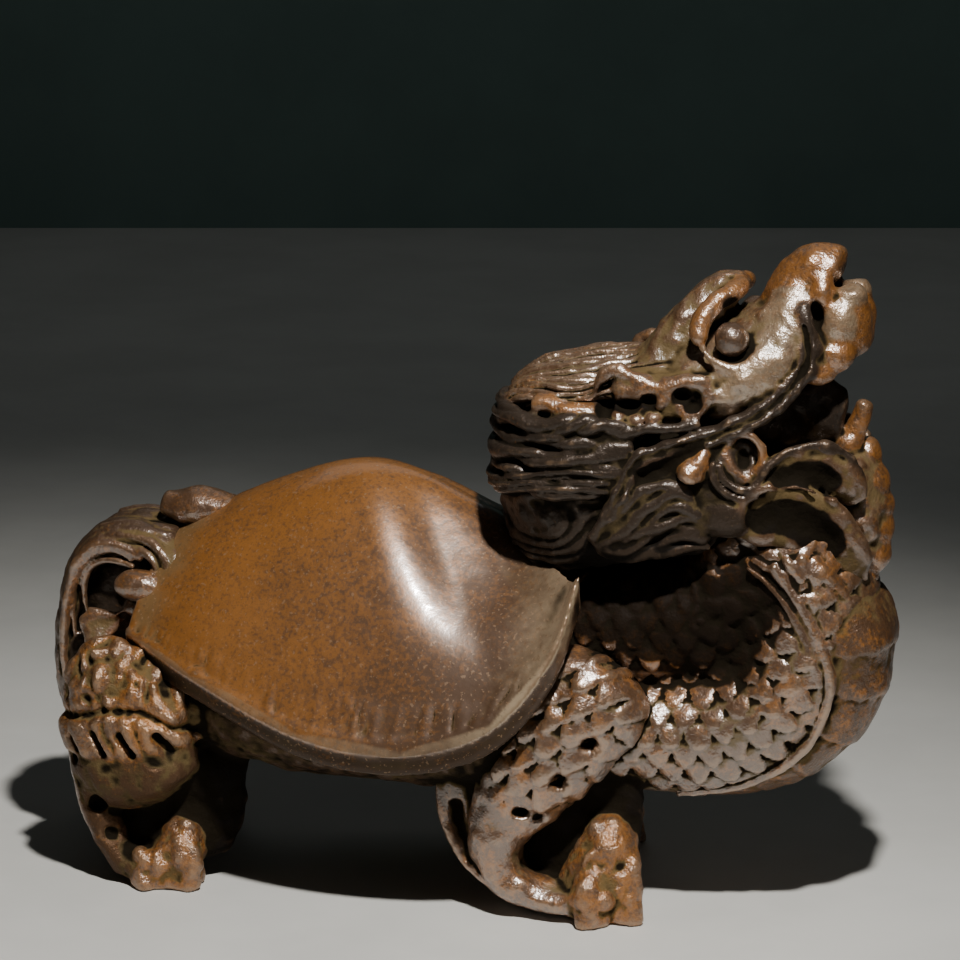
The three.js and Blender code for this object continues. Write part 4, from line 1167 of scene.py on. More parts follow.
THROAT_HOLLOW = [
    (25, 8.2, 34.2, 1.3, 1.3), (26.8, 8.2, 35, 1.5, 1.9), (28.8, 7.7, 35, 1.5, 2),
    (30.6, 6.8, 33.8, 1.4, 1.8), (32, 5.6, 31.6, 1.2, 1.2),
]
CHIN_LUMPS = [
    ((33.3, 1.6, 38.9), (1.2, 1.6, 1.6)), ((33.9, 0.8, 36.8), (1.5, 2.2, 1.7)),
    ((34.2, 1, 34.8), (1.5, 2.2, 1.6)), ((34.4, 0.8, 32.8), (1.4, 2.3, 1.7)),
    ((34.4, 0.4, 30.8), (1.3, 2, 1.6)), ((33.7, 0, 29), (1, 1.4, 1)),
    ((33.2, 2.4, 37.4), (1, 1, 1.2)), ((33.6, 2.6, 34.2), (1, 1.1, 1.4)),
]
CHIN_CORE = [
    (32.2, 0, 39.4, 2.4, 1.4), (33, 0, 36, 2.8, 1.8), (33.4, 0, 33, 2.6, 1.8),
    (33.2, 0, 30, 2, 1.4),
]


CROWN_CENTRE = 38.0
CROWN_STRAND = 0.75
MANE_CENTRE = 11.0
MANE_STRAND = 1.3

lumpy = lumps((0.26, 1.5, 30), (0.1, 0.7, 29))
soft = lumps((0.16, 1.6, 31), (0.08, 0.7, 35))
crinkled = lumps((0.24, 1.0, 28))


def crown_hair(points):
    """Strands combed back over the crown: their place across is the angle round the head."""
    x, y, z = points.T
    turn = np.arctan2(np.abs(y), z - CROWN_CENTRE)
    height = strands(9.0 * turn + 0.1 * x, x, CROWN_STRAND, 1.1, 24)
    return (height - 0.7) * (1.0 - smooth(x, 15.5, 18.0)) * smooth(z, 42.5, 44.0)


def mane_lines(points):
    """Fine lines combed round the mane."""
    x, y, z = points.T
    turn = np.arctan2(np.abs(y), MANE_CENTRE - x)
    height = strands(z + 0.6 * np.sin(3.0 * turn), 8.0 * turn, MANE_STRAND, 1.6, 25)
    return 0.45 * (height - 0.8) * (1.0 - smooth(x, 12.0, 15.5))


def locks_between(lines, count, thick, wave, seed):
    """Locks of hair side by side: each runs smoothly between the drawn lines, waving as it goes."""
    lines = np.array(lines, float)
    t = np.linspace(0.0, 1.0, LOCK_POINTS)
    dense = np.stack([through(line, t) for line in lines])
    flat = dense.reshape(len(lines), -1)
    locks = []
    for index, share in enumerate(np.linspace(0.0, 1.0, count)):
        path = through(flat, np.array([share])).reshape(-1, 3)
        phase = 2.4 * index + seed
        path[:, 2] += wave * np.sin(9.0 * t + phase) * np.sin(math.pi * t)
        swell = 1.0 + LOCK_SWELL * np.sin(6.0 * t + 1.7 * phase)
        taper = 1.0 - LOCK_TAPER * (2.0 * t - 1.0) ** 6
        half = thick * swell * taper
        locks.append(limb(np.column_stack([path, half, half]), step=FINE))
    return locks


def head_steps():
    """The skull, the face, the jaw, the mane and the beard."""
    steps = add([limb(MANE, lumpy, cap=MANE_CAP, square=2.2)], "hair")
    steps += add([limb(SKULL, lumpy), limb(CROWN, lumpy, square=2.4)], "crown")
    steps += add([limb(CREST, lumps((0.2, 1.0, 32)), square=2.6, step=FINE)], "crest", 0.8)
    steps += add([limb(NOSE, soft, step=FINE)], "orange", 0.8)
    steps += add([limb(FRONT_LIP, lumpy, step=FINE)], "muzzle")
    steps += add([limb(MOUTH_WALL, lumpy)], "hair") + add([limb(JAW, lumpy)], "brown")
    steps += add([limb(TONGUE, soft, step=0.15)], "orange", 0.3)
    steps += add([limb(CHIN_CORE, lumps((0.3, 1.0, 33)))], "crest", 0.5)
    steps += add(beads(CHIN_LUMPS), "orange", 0.3)
    return steps + on_both(face_steps() + cheek_steps()) + on_both(hair_steps())


def face_steps():
    """One side of the face above the lip: the muzzle, the crest's flank, the eye and the ear."""
    steps = add([limb(MUZZLE, lumpy)], "muzzle", 0.9)
    steps += add([limb(TEMPLE, lumpy)], "olive", 0.6)
    steps += cut([limb(CREST_HOLLOW)], None, 0.5)
    steps += add([cord(CREST_EDGE, 0.36)], "crest", 0.4)
    steps += add([cord(CREST_FLANK, 0.85)], "orange", 0.7)
    steps += cut([cord(path, half) for path, half in CREST_SLOTS], None, 0.15)
    steps += cut(beads([EYE_SOCKET, BROW_HOLLOW]), "deep", 0.3)
    steps += add([bead(EYE, (EYE_RADIUS,) * 3, FINE)], "brown", 0.2)
    steps += add([cord(EYE_RIM, 0.4, crinkled)], "muzzle", 0.3)
    steps += add(beads(NOSE_LUMPS, FINE), "orange", 0.9)
    steps += add(beads(NOSE_PALE_LUMPS, FINE), "muzzle", 0.8)
    steps += cut(beads([NOSTRIL, NOSE_NOTCH], FINE), None, 0.25)
    steps += add([cord(LIP, 0.9, crinkled)], "beard", 0.6)
    steps += cut([cord(LIP_GROOVE, 0.36)], None, 0.2)
    steps += add([limb(HORN, soft, step=FINE)], "orange", 0.4)
    steps += add([cord(HORN_RIDGE, 0.5), cord(TEMPLE_EDGE, 0.45)], "hair", 0.3)
    steps += add(beads(TEMPLE_LUMPS, FINE), "crest", 0.25)
    steps += add([cord(EAR, 0.62, crinkled), cord(ROSETTE, 0.6, crinkled)], "crest", 0.8)
    steps += cut(beads(EAR_HOLLOWS + ROSETTE_HOLLOWS, FINE), "deep", 0.25)
    steps += add(beads([EAR_LUMP], FINE), "muzzle", 0.5)
    return steps


def cheek_steps():
    """One side of the jaw: the cheek with its knob and ring, the jaw's leaf and the throat's."""
    steps = add([limb(CHEEK, lumpy), limb(BEARD, lumpy)], "hair", 0.8)
    steps += add(beads([BEARD_LOBE]), "grey", 0.8)
    steps += cut([limb(CHEEK_HOLLOW)], "deep", 0.4)
    steps += add([limb(CHEEK_KNOB, soft, step=0.15)], "orange", 0.25)
    steps += add([cord(RING, 0.42, crinkled)], "orange", 0.3)
    steps += cut(beads([RING_HOLLOW], FINE), None, 0.2)
    steps += add([cord(fold, 0.32) for fold in CHEEK_FOLDS], "grey", 0.2)
    steps += add([limb(THROAT_ARC, lumpy)], "olive", 0.6) + cut([limb(THROAT_HOLLOW)], "deep", 0.6)
    steps += add([cord(THROAT_RIM, 0.42, crinkled)], "olive", 0.35)
    steps += add([limb(JAW_LEAF, lumpy)], "olive", 0.6) + cut([limb(JAW_HOLLOW)], "deep", 0.4)
    steps += add([cord(JAW_RIM, 0.42, crinkled)], "grey", 0.35)
    return steps


def hair_steps():
    """One side of the locks on the mane, over the crown and in the beard."""
    steps = add(locks_between(MANE_LOCKS, MANE_LOCK_COUNT, 0.72, 0.6, 0.0), "hair", 0.12)
    steps += add(locks_between(CROWN_LOCKS, CROWN_LOCK_COUNT, 0.5, 0.16, 1.0), "crown", 0.1)
    steps += add(locks_between(BEARD_LOCKS, BEARD_LOCK_COUNT, 0.46, 0.3, 2.0), "beard", 0.2)
    return steps


def body_steps():
    """The trunk and four legs. The left legs stand a stride back and only the right arm has holes."""
    leg = front_leg_steps() + rear_leg_steps()
    steps = trunk_steps() + on_side(leg, RIGHT) + on_side(leg, LEFT, STRIDE)
    return steps + on_side(cut(beads(ARM_HOLES, FINE), None, 0.15), RIGHT)


def shell_steps():
    """The shell."""
    return add([shell_form()], "shell")


# The pieces of the casting, each with its box and its steps, and the whole figure's box.
PIECES = {
    "shell": ((-31, -18, 11), (13, 18, 38), shell_steps),
    "body": ((-36, -15, 0), (37, 15, 39), body_steps),
    "head": ((1, -11, 27), (37, 11, 58), head_steps),
    "tail": ((-39, -8, 9), (-21, 8, 35), tail_steps),
}
FIGURE_BOX = ((-40, -19, -1), (38, 19, 59))
COARSE_CELL = 0.5
# The carving on each finish, as heights in shares of the scale lift.
RELIEFS = {
    "shell": shell_strokes,
    "scaled": neck_scales,
    "armoured": arm_scales,
    "crown": crown_hair,
    "hair": mane_lines,
}
# For each width of hollow: how often the skin is relaxed, and the depth that counts as full.
HOLLOWS = {"fine": (4, 0.12), "groove": (20, 0.5), "bowl": (70, 1.2)}
# How far round a place the metal is averaged, and how far over the skin that average is read.
CROWDING_REACH = 1.2
CLOSE_HEIGHT = 0.6
# The share of the cast lumps that the smooth shell has.
SHELL_LUMPS = 0.15
# The painted shadow of the head on the neck, laid as black: how far it spreads and how strong it is.
HEAD_SHADOW_REACH = 3.4
HEAD_SHADOW_STRENGTH = 1.6
# A piece with more triangles is thinned to this many.
MOST_TRIANGLES = 196000


@functools.cache
def whole_casting():
    """The whole figure in coarse cells, for how crowded with metal each place is."""
    metal = Metal(*FIGURE_BOX, COARSE_CELL)
    for _, _, steps in PIECES.values():
        metal.work(steps())
    return metal, metal.crowding(CROWDING_REACH)


def add_mesh(name, points, quads):
    """An object with a smooth mesh of these points, in metres, and quads."""
    mesh = bpy.data.meshes.new(name)
    mesh.vertices.add(len(points))
    mesh.vertices.foreach_set("co", points.astype(np.float32).ravel())
    mesh.loops.add(quads.size)
    mesh.loops.foreach_set("vertex_index", quads.astype(np.int32).ravel())
    mesh.polygons.add(len(quads))
    mesh.polygons.foreach_set("loop_start", np.arange(0, quads.size, 4, dtype=np.int32))
    mesh.polygons.foreach_set("use_smooth", np.ones(len(quads), bool))
    mesh.update(calc_edges=True)
    mesh.validate()
    obj = bpy.data.objects.new(name, mesh)
    bpy.context.scene.collection.objects.link(obj)
    return obj


def add_values(obj, name, values):
    """A number on each vertex, which the materials read by name."""
    layer = obj.data.attributes.new(name, "FLOAT", "POINT")
    layer.data.foreach_set("value", np.asarray(values, np.float32))


def raise_relief(points, normals, quads, finish, lumpiness):
    """The points moved along their normals by the uneven casting skin and each finish's carving."""
    sizes = bpy.context.scene.figure_sizes
    raised = lumpiness * sizes.cast_lumps * (noise(points, 1.1, 41) + 0.6 * noise(points, 0.5, 42))
    for name, height in RELIEFS.items():
        has_it = (finish == FINISH_NAMES.index(name)).astype(float)
        share = relaxed(has_it[:, None], quads, 8)[:, 0]
        if share.max() > 0:
            raised += sizes.scale_lift * smooth(share, 0.4, 0.9) * height(points)
    return points + normals * relaxed(raised[:, None], quads, 1)


def hollows_of(points, normals, quads):
    """How hollow the skin is at each point, for each width, from 0 on a ridge to 1 in a groove."""
    settled = points
    for name, (times, full) in HOLLOWS.items():
        settled = relaxed(settled, quads, times)
        depth = ((settled - points) * normals).sum(axis=1)
        yield name, np.clip(0.5 + depth / full, 0, 1)


def cast_piece(name, cell, material):
    """One piece of the casting: its forms melted, skinned, roughened and given its finishes."""
    low, high, steps = PIECES[name]
    metal = Metal(low, high, cell)
    metal.work(steps())
    metal.level()
    points, quads = metal.skin()
    if not len(quads):
        raise RuntimeError(f"The {name} came out empty")
    points = relaxed(points, quads, 1)
    normals = skin_normals(points, quads)
    finish = metal.finish_at(points - 0.5 * cell * normals)
    points = raise_relief(points, normals, quads, finish, SHELL_LUMPS if name == "shell" else 1.0)
    normals = skin_normals(points, quads)
    obj = add_mesh(name, (points - (DRAWN_MIDDLE, 0, 0)) * UNIT, quads)
    for label, values in hollows_of(points, normals, quads):
        add_values(obj, label, values)
    whole, crowd = whole_casting()
    # How crowded with metal the place over the skin is: it feeds olive dirt and painted shade.
    add_values(obj, "close", whole.sample(crowd, points + normals * CLOSE_HEIGHT))
    if name == "shell":
        tint = shell_tint(points, normals)
    else:
        tint = relaxed(np.array(list(FINISHES.values()))[finish], quads, 6)
    # The head's shadow on the neck, painted into the black value.
    painted_head_shadow = near(both_sides(points), HEAD_SHADOW_PLACES, HEAD_SHADOW_REACH)
    tint[:, VALUE_NAMES.index("grime_and_shade")] += HEAD_SHADOW_STRENGTH * painted_head_shadow
    for column, label in enumerate(VALUE_NAMES):
        add_values(obj, label, tint[:, column])
    triangles = 2 * len(quads)
    if triangles > MOST_TRIANGLES:
        thinned = obj.modifiers.new("thinned", "DECIMATE")
        thinned.ratio = MOST_TRIANGLES / triangles
    obj.data.materials.append(material)
    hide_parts(NODE)
    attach(obj, "root")


def shell_tint(points, normals):
    """The shell's values.

    It is warm behind and dusky in front, olive at its rear corners and on its wall, and pale along
    the edge of its rim and on one scuffed spot. Its front is painted pale as a sheen, and the wall
    under the rim is painted dark with dusk and black as shade.
    """
    x, y = points[:, 0], points[:, 1]
    wide = 5.0 * noise(points, 9.0, 51)
    warm = 1.0 - smooth(x + wide + 0.5 * np.abs(y), -14.0, 12.0)
    corner = near(both_sides(points), SHELL_CORNER, SHELL_CORNER_REACH)
    # The wall faces down under the rim: its dusk and black are painted shade, its olive is patina.
    wall = smooth(-normals[:, 2], -0.1, 0.25)
    front = smooth(x, 0.0, 10.0)
    edge = smooth(rim_share(points)[0], 0.982, 0.996) * (1.0 - wall)
    olive = np.maximum(corner, 0.5 * wall)
    dusk = np.maximum(0.45 * (1.0 - warm), 0.7 * wall)
    # Pale in front is a painted sheen; pale on the rim's edge and at the scuff is wear.
    pale = 0.75 * front * (1.0 - wall) + 0.6 * edge + 0.9 * near(points, [SHELL_SCUFF], 1.2)
    return np.stack([warm * (1.0 - 0.8 * wall), dusk, olive, pale, 0.3 * wall, 0.3 * wall], axis=1)


# Materials. The noises' scales are counted per metre, and the bump's height is in metres.

CLOUD_SCALE = 170.0
MOTTLE_SCALE = 800.0
SPECK_SCALE = 2800.0
GRAIN_SCALE = 3300.0
CREASE_SCALE = 650.0
BUMP_HEIGHT = 0.00018
PATINA_COLOURS = ("Brown", "Orange", "Dusk", "Olive", "Soot_and_shade", "Bright", "Pale")
PATINA_AMOUNTS = ("Rubbed", "Patches", "Grain", "Dirt", "Wear", "Metal", "Roughness")
PATINA_RESULTS = ("Roughness", "Metallic", "Gloss", "Height")


class Nodes:
    """A node tree with short ways to add and join nodes."""

    def __init__(self, tree):
        self.tree = tree

    def add(self, kind, inputs=None, **settings):
        """A node with its settings, and its inputs set to values or joined to sockets."""
        node = self.tree.nodes.new(kind)
        for key, value in settings.items():
            setattr(node, key, value)
        self.fill(node, inputs or {})
        return node

    def fill(self, node, inputs):
        """Sets a node's inputs to values or joins them to sockets."""
        for key, value in inputs.items():
            if isinstance(value, bpy.types.NodeSocket):
                self.tree.links.new(value, node.inputs[key])
            else:
                node.inputs[key].default_value = value

    def math(self, operation, first, second=0.0, third=0.0):
        """The result of a math node."""
        inputs = {0: first, 1: second, 2: third}
        return self.add("ShaderNodeMath", inputs, operation=operation).outputs[0]

    def times(self, first, second):
        """The product of two values."""
        return self.math("MULTIPLY", first, second)

    def ramp(self, value, low, high):
        """A value carried smoothly from 0 at low to 1 at high."""
        inputs = {"Value": value, "From Min": low, "From Max": high}
        node = self.add("ShaderNodeMapRange", inputs, interpolation_type="SMOOTHSTEP")
        return node.outputs["Result"]

    def mix(self, factor, first, second):
        """A colour between two."""
        return self.add("ShaderNodeMix", {0: factor, 6: first, 7: second}, data_type="RGBA").outputs[2]

    def noise(self, place, scale, detail, rough):
        """Noise from 0 to 1 at a place, of that scale, detail and roughness."""
        inputs = {"Vector": place, "Scale": scale, "Detail": detail, "Roughness": rough}
        return self.add("ShaderNodeTexNoise", inputs).outputs["Fac"]

    def about(self, value):
        """A value from 0 to 1 as one from -0.5 to 0.5."""
        return self.math("SUBTRACT", value, 0.5)

    def total(self, start, *parts):
        """A start plus each part's value times its weight."""
        for value, weight in parts:
            start = self.math("MULTIPLY_ADD", value, weight, start)
        return start

    def value_of(self, name):
        """A number kept on the vertices."""
        return self.add("ShaderNodeAttribute", attribute_name=name).outputs["Fac"]


def opaque(colour):
    """A colour with an alpha of one."""
    return (*colour, 1.0)


def patina_group():
    """The bronze's patina as a shared group.

    Each layer's strength is a sum of the skin's values and of noises, each times its weight, and is
    carried smoothly from none to full between two limits.
    """
    group = bpy.data.node_groups.new("Bronze patina", "ShaderNodeTree")
    face = group.interface
    for name in PATINA_COLOURS:
        face.new_socket(name, in_out="INPUT", socket_type="NodeSocketColor")
    for name in PATINA_AMOUNTS:
        face.new_socket(name, in_out="INPUT", socket_type="NodeSocketFloat")
    face.new_socket("Colour", in_out="OUTPUT", socket_type="NodeSocketColor")
    for name in PATINA_RESULTS:
        face.new_socket(name, in_out="OUTPUT", socket_type="NodeSocketFloat")
    nodes = Nodes(group)
    given = nodes.add("NodeGroupInput").outputs
    result = nodes.add("NodeGroupOutput")
    place = nodes.add("ShaderNodeTexCoord").outputs["Object"]
    cloud = nodes.times(nodes.about(nodes.noise(place, CLOUD_SCALE, 4.0, 0.65)), given["Patches"])
    mottle = nodes.times(nodes.about(nodes.noise(place, MOTTLE_SCALE, 4.0, 0.7)), given["Patches"])
    speck = nodes.about(nodes.noise(place, SPECK_SCALE, 2.0, 0.6))
    grains = nodes.noise(place, GRAIN_SCALE, 1.0, 0.5)
    fine, groove, bowl = (nodes.about(nodes.value_of(name)) for name in HOLLOWS)
    close = nodes.value_of("close")
    warm, dusk, olive, pale, grime_and_shade, stony = (nodes.value_of(name) for name in VALUE_NAMES)

    # The colour, from the bare patina up to the dirt, the grime with painted shade, and the worn edges.
    colour = nodes.mix(nodes.ramp(dusk, 0.1, 0.9), given["Brown"], given["Dusk"])
    rubbed = nodes.total(
        given["Rubbed"], (warm, 0.55), (cloud, 1.5), (mottle, 1.4), (speck, 1.7), (dusk, -0.35)
    )
    colour = nodes.mix(nodes.ramp(rubbed, 0.25, 1.15), colour, given["Orange"])
    paler = nodes.total(0.0, (pale, 0.9), (mottle, 0.9))
    colour = nodes.mix(nodes.ramp(paler, 0.25, 1.0), colour, given["Pale"])
    dirty = nodes.total(
        -0.1, (groove, 1.4), (fine, 1.0), (bowl, 0.9), (olive, 0.85), (close, 0.35), (mottle, 0.8),
        (cloud, -1.2),
    )
    dirt = nodes.times(nodes.ramp(dirty, 0.1, 0.7), given["Dirt"])
    colour = nodes.mix(dirt, colour, given["Olive"])
    grit = nodes.times(nodes.ramp(speck, 0.05, 0.25), given["Grain"])
    colour = nodes.mix(nodes.times(grit, 0.45), colour, given["Dusk"])
    flecks = nodes.times(nodes.ramp(grains, 0.64, 0.72), given["Grain"])
    colour = nodes.mix(nodes.times(flecks, 0.5), colour, given["Bright"])
    # Soot: near-black patina in the grooves, with painted shade under edges, where metal crowds round
    # and wherever the black value lays it.
    deep = nodes.total(
        -0.42, (groove, 1.0), (close, 1.0), (fine, 0.8), (grime_and_shade, 1.3), (cloud, 0.3), (stony, -0.15)
    )
    soot_and_shade = nodes.times(nodes.ramp(deep, 0.0, 0.42), 0.95)
    colour = nodes.mix(soot_and_shade, colour, given["Soot_and_shade"])
    proud = nodes.total(0.0, (fine, -1.0), (groove, -1.0), (mottle, 0.5), (grime_and_shade, -1.2), (dusk, -0.2))
    wear = nodes.times(nodes.ramp(proud, 0.2, 0.75), given["Wear"])
    colour = nodes.mix(wear, colour, given["Bright"])

    # How the surface shines, and its relief.
    rough = nodes.total(given["Roughness"], (dirt, 0.25), (mottle, 0.3), (wear, -0.08), (soot_and_shade, 0.3))
    clean = nodes.math("SUBTRACT", 1.0, nodes.math("MAXIMUM", dirt, soot_and_shade))
    metallic = nodes.times(nodes.total(given["Metal"], (wear, 0.3)), clean)
    dull = nodes.total(0.0, (dirt, 0.7), (soot_and_shade, 0.9), (dusk, 0.75), (grime_and_shade, 0.6), (stony, 0.6))
    gloss = nodes.math("SUBTRACT", 1.0, nodes.ramp(dull, 0.0, 1.0))
    crease = nodes.math("ABSOLUTE", nodes.about(nodes.noise(place, CREASE_SCALE, 5.0, 0.65)))
    broken = nodes.times(crease, stony)
    height = nodes.total(0.0, (speck, 0.8), (mottle, 1.0), (grains, 0.4), (broken, 9.0))
    nodes.fill(result, {
        "Colour": colour, "Roughness": rough, "Metallic": metallic, "Gloss": gloss, "Height": height,
    })
    return group


def new_material(name):
    """A material with its node tree and its shader."""
    material = bpy.data.materials.new(name)
    material.use_nodes = True
    return material, Nodes(material.node_tree), material.node_tree.nodes["Principled BSDF"]


def bronze(name, pitting, polish, amounts):
    """A bronze that takes its patina from the group, with its own pitting, polish and amounts."""
    group = bpy.data.node_groups.get("Bronze patina") or patina_group()
    colours = bpy.context.scene.figure_colours
    material, nodes, shader = new_material(name)
    given = {socket: opaque(getattr(colours, socket.lower())) for socket in PATINA_COLOURS}
    given.update(zip(PATINA_AMOUNTS, amounts))
    patina = nodes.add("ShaderNodeGroup", node_tree=group)
    nodes.fill(patina, given)
    height = {"Height": patina.outputs["Height"], "Strength": pitting, "Distance": BUMP_HEIGHT}
    normal = nodes.add("ShaderNodeBump", height).outputs["Normal"]
    gloss = patina.outputs["Gloss"]
    nodes.fill(shader, {
        "Base Color": patina.outputs["Colour"],
        "Roughness": patina.outputs["Roughness"],
        "Metallic": patina.outputs["Metallic"],
        "Normal": normal,
        "IOR": 2.0,
        "Specular IOR Level": nodes.total(0.03, (gloss, 0.42)),
        "Coat Weight": gloss,
        "Coat Roughness": polish,
        "Coat IOR": 2.2,
        "Coat Normal": normal,
    })
    return material


def plain(name, colour, rough):
    """A matt material with faint clouds."""
    material, nodes, shader = new_material(name)
    place = nodes.add("ShaderNodeTexCoord").outputs["Object"]
    cloud = nodes.noise(place, 40.0, 4.0, 0.6)
    darker = opaque([0.9 * part for part in colour])
    tint = nodes.mix(nodes.ramp(cloud, 0.3, 0.7), darker, opaque(colour))
    nodes.fill(shader, {"Base Color": tint, "Roughness": rough, "Specular IOR Level": 0.2})
    return material


def one_sided(material):
    """Leaves a sheet's back unseen, so that the figure can be looked at from behind the sheet."""
    nodes = Nodes(material.node_tree)
    behind = nodes.add("ShaderNodeNewGeometry").outputs["Backfacing"]
    shader = material.node_tree.nodes["Principled BSDF"]
    nodes.fill(shader, {"Alpha": nodes.math("SUBTRACT", 1.0, behind)})
    return material


# The stage: camera, lights, floor and backdrop, in drawn millimetres like the figure.
VIEW_TURN = math.radians(14.0)
VIEW_DOWN = math.radians(14.0)
VIEW_DISTANCE = 330.0
VIEW_TARGET = (0.26, 0.0, 35.1)
LENS = 144.8
SENSOR = 36.0
AWAY = np.array([-math.sin(VIEW_TURN), math.cos(VIEW_TURN), 0.0])
ASIDE = np.array([math.cos(VIEW_TURN), math.sin(VIEW_TURN), 0.0])
UP = np.array([0.0, 0.0, 1.0])
BACKDROP_AWAY = 314.0
STAGE_HALF = 600.0
KEY_PLACE = (60.0, -118.0, 233.0)
KEY_TARGET = (-6.0, -36.0, 0.0)
KEY_COLOUR = (1.0, 0.97, 0.93)
ROOM_COLOUR = (0.3, 0.34, 0.33, 1.0)
ROOM_STRENGTH = 0.005


def metres(place):
    """A drawn place as a vector in metres, in the frame."""
    return Vector((np.array(place, float) - (DRAWN_MIDDLE, 0, 0)) * UNIT)


def aim(obj, place, target):
    """Puts an object at a drawn place and turns its -Z axis to a target."""
    obj.location = metres(place)
    obj.rotation_euler = (metres(target) - metres(place)).to_track_quat("-Z", "Y").to_euler()


def add_light(name, kind, energy, place, target, **settings):
    """A light at a drawn place, turned to a target."""
    light = bpy.data.lights.new(name, kind)
    light.energy = energy
    for key, value in settings.items():
        setattr(light, key, value)
    obj = bpy.data.objects.new(name, light)
    bpy.context.scene.collection.objects.link(obj)
    aim(obj, place, target)


def add_sheets():
    """The floor, and the backdrop square to the camera at its far edge."""
    colours = bpy.context.scene.figure_colours
    foot = AWAY * BACKDROP_AWAY
    corners = [foot - ASIDE * STAGE_HALF, foot + ASIDE * STAGE_HALF]
    front = [corner - AWAY * 2 * STAGE_HALF for corner in corners]
    top = [corner + UP * STAGE_HALF for corner in corners]
    floor = plain("pale floor", colours.floor, 0.55)
    backdrop = one_sided(plain("dark backdrop", colours.backdrop, 0.9))
    sheets = (("floor", front + corners[::-1], floor), ("backdrop", corners + top[::-1], backdrop))
    for name, points, material in sheets:
        sheet = add_mesh(name, np.array(points) * UNIT, np.array([[0, 1, 2, 3]]))
        sheet.data.materials.append(material)


def add_lights():
    """The key from above on the right, two faint fills, a wash on the far floor and the room."""
    foot = AWAY * BACKDROP_AWAY
    add_light(
        "key", "SPOT", 3.65, KEY_PLACE, KEY_TARGET,
        spot_size=math.radians(60.0), spot_blend=1.0, shadow_soft_size=0.007, color=KEY_COLOUR,
    )
    add_light("fill", "AREA", 0.003, (-120.0, -260.0, 120.0), (0.0, 0.0, 20.0), size=0.3)
    add_light("right fill", "AREA", 0.012, (260.0, -150.0, 120.0), (20.0, 0.0, 25.0), size=0.15)
    add_light("far floor", "AREA", 0.06, foot + UP * 260.0 - AWAY * 60.0, foot + AWAY * 10.0, size=0.3)
    world = bpy.data.worlds.new("room")
    world.use_nodes = True
    background = world.node_tree.nodes["Background"]
    background.inputs["Color"].default_value = ROOM_COLOUR
    background.inputs["Strength"].default_value = ROOM_STRENGTH
    bpy.context.scene.world = world


def add_camera():
    """The camera, turned round the figure and looking down on it."""
    back = UP * math.sin(VIEW_DOWN) - AWAY * math.cos(VIEW_DOWN)
    camera = bpy.data.cameras.new("camera")
    camera.lens = LENS
    camera.sensor_width = SENSOR
    camera.clip_start = 0.01
    camera.clip_end = 10.0
    obj = bpy.data.objects.new("camera", camera)
    bpy.context.scene.collection.objects.link(obj)
    aim(obj, np.array(VIEW_TARGET) + VIEW_DISTANCE * back, VIEW_TARGET)
    bpy.context.scene.camera = obj


# Each bronze's name, pitting and polish, and its amounts in the order of PATINA_AMOUNTS.
SHELL_BRONZE = ("rubbed shell bronze", 0.06, 0.16, (0.4, 0.5, 1.0, 0.7, 0.9, 0.35, 0.38))
BODY_BRONZE = ("scaled body bronze", 0.4, 0.25, (0.15, 1.4, 0.15, 0.9, 0.6, 0.45, 0.42))
HEAD_BRONZE = ("carved head bronze", 0.4, 0.25, (0.15, 1.0, 0.15, 0.85, 0.5, 0.45, 0.42))
TAIL_BRONZE = ("curled tail bronze", 0.4, 0.24, (0.2, 1.0, 0.15, 0.85, 0.5, 0.45, 0.42))


class FIGURE_OT_stage(bpy.types.Operator):
    """Builds the floor, the backdrop, the lights and the camera"""

    bl_idname = "figure.stage"
    bl_label = "Stage"

    def execute(self, context):
        add_sheets()
        add_lights()
        add_camera()
        if context.scene.camera is None:
            raise RuntimeError("The stage has no camera")
        return {"FINISHED"}


class FIGURE_OT_shell(bpy.types.Operator):
    """Casts the smooth domed shell"""

    bl_idname = "figure.shell"
    bl_label = "Shell"

    def execute(self, context):
        cast_piece("shell", context.scene.figure_sizes.body_cell, bronze(*SHELL_BRONZE))
        return {"FINISHED"}


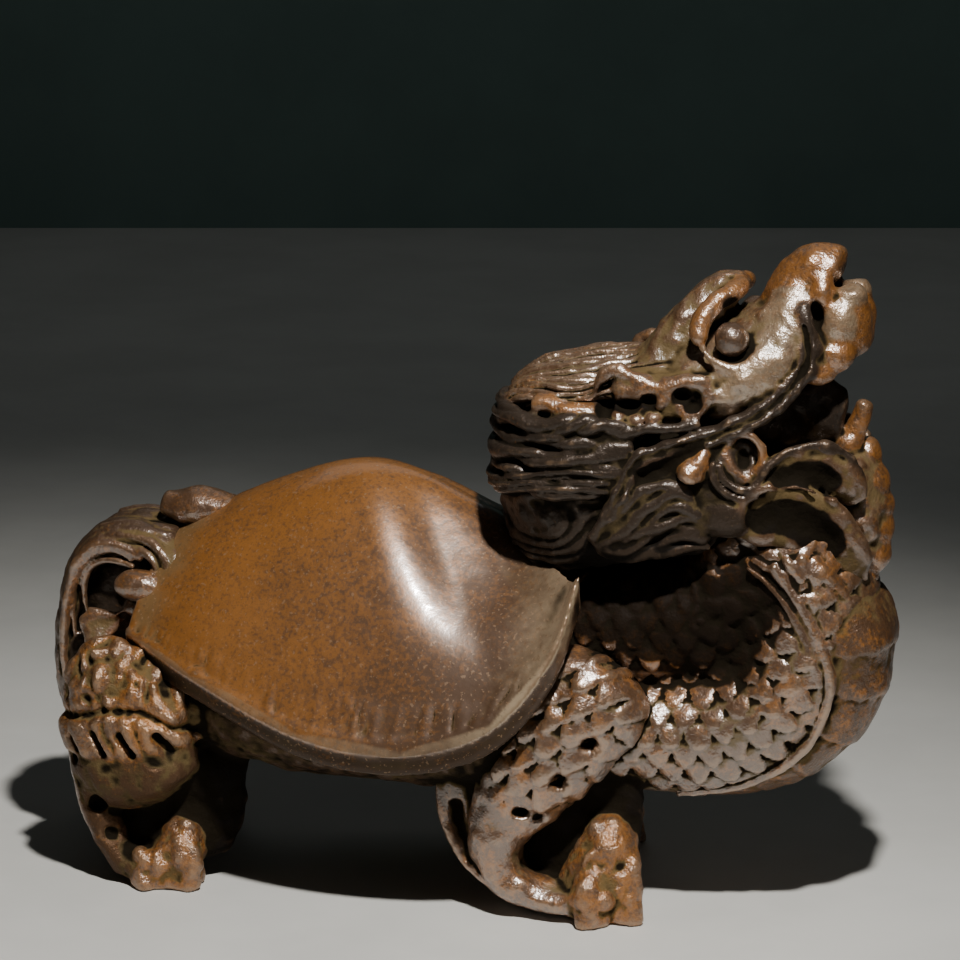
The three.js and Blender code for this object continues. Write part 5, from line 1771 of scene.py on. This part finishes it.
class FIGURE_OT_body(bpy.types.Operator):
    """Casts the body, the scaled neck and the four legs"""

    bl_idname = "figure.body"
    bl_label = "Body and legs"

    def execute(self, context):
        cast_piece("body", context.scene.figure_sizes.body_cell, bronze(*BODY_BRONZE))
        return {"FINISHED"}


class FIGURE_OT_head(bpy.types.Operator):
    """Casts the head, the mane and the beard"""

    bl_idname = "figure.head"
    bl_label = "Head"

    def execute(self, context):
        cast_piece("head", context.scene.figure_sizes.head_cell, bronze(*HEAD_BRONZE))
        return {"FINISHED"}


class FIGURE_OT_tail(bpy.types.Operator):
    """Casts the curled tail"""

    bl_idname = "figure.tail"
    bl_label = "Tail"

    def execute(self, context):
        cast_piece("tail", context.scene.figure_sizes.head_cell, bronze(*TAIL_BRONZE))
        return {"FINISHED"}


OPERATORS = (FIGURE_OT_stage, FIGURE_OT_shell, FIGURE_OT_body, FIGURE_OT_head, FIGURE_OT_tail)


class FIGURE_PT_panel(bpy.types.Panel):
    """Lists the figure's pieces, sizes and colours"""

    bl_idname = "FIGURE_PT_panel"
    bl_label = "Dragon turtle"
    bl_space_type = "VIEW_3D"
    bl_region_type = "UI"
    bl_category = "Figure"

    def draw(self, context):
        for operator in OPERATORS:
            self.layout.operator(operator.bl_idname)
        for group in (context.scene.figure_sizes, context.scene.figure_colours):
            box = self.layout.box()
            for name in group.bl_rna.properties.keys():
                if name not in ("rna_type", "name"):
                    box.prop(group, name)


CLASSES = (FigureSizes, FigureColours, *OPERATORS, FIGURE_PT_panel)


def register():
    """Registers the classes and puts the sizes and colours on the scene."""
    for cls in CLASSES:
        bpy.utils.register_class(cls)
    bpy.types.Scene.figure_sizes = bpy.props.PointerProperty(type=FigureSizes)
    bpy.types.Scene.figure_colours = bpy.props.PointerProperty(type=FigureColours)


def unregister():
    """Takes away what register() added."""
    del bpy.types.Scene.figure_colours
    del bpy.types.Scene.figure_sizes
    for cls in reversed(CLASSES):
        bpy.utils.unregister_class(cls)


def main():
    """Builds the stage and the figure."""
    register()
    bpy.ops.figure.stage()
    bpy.ops.figure.shell()
    bpy.ops.figure.body()
    bpy.ops.figure.head()
    bpy.ops.figure.tail()


if __name__ == "__main__":
    main()
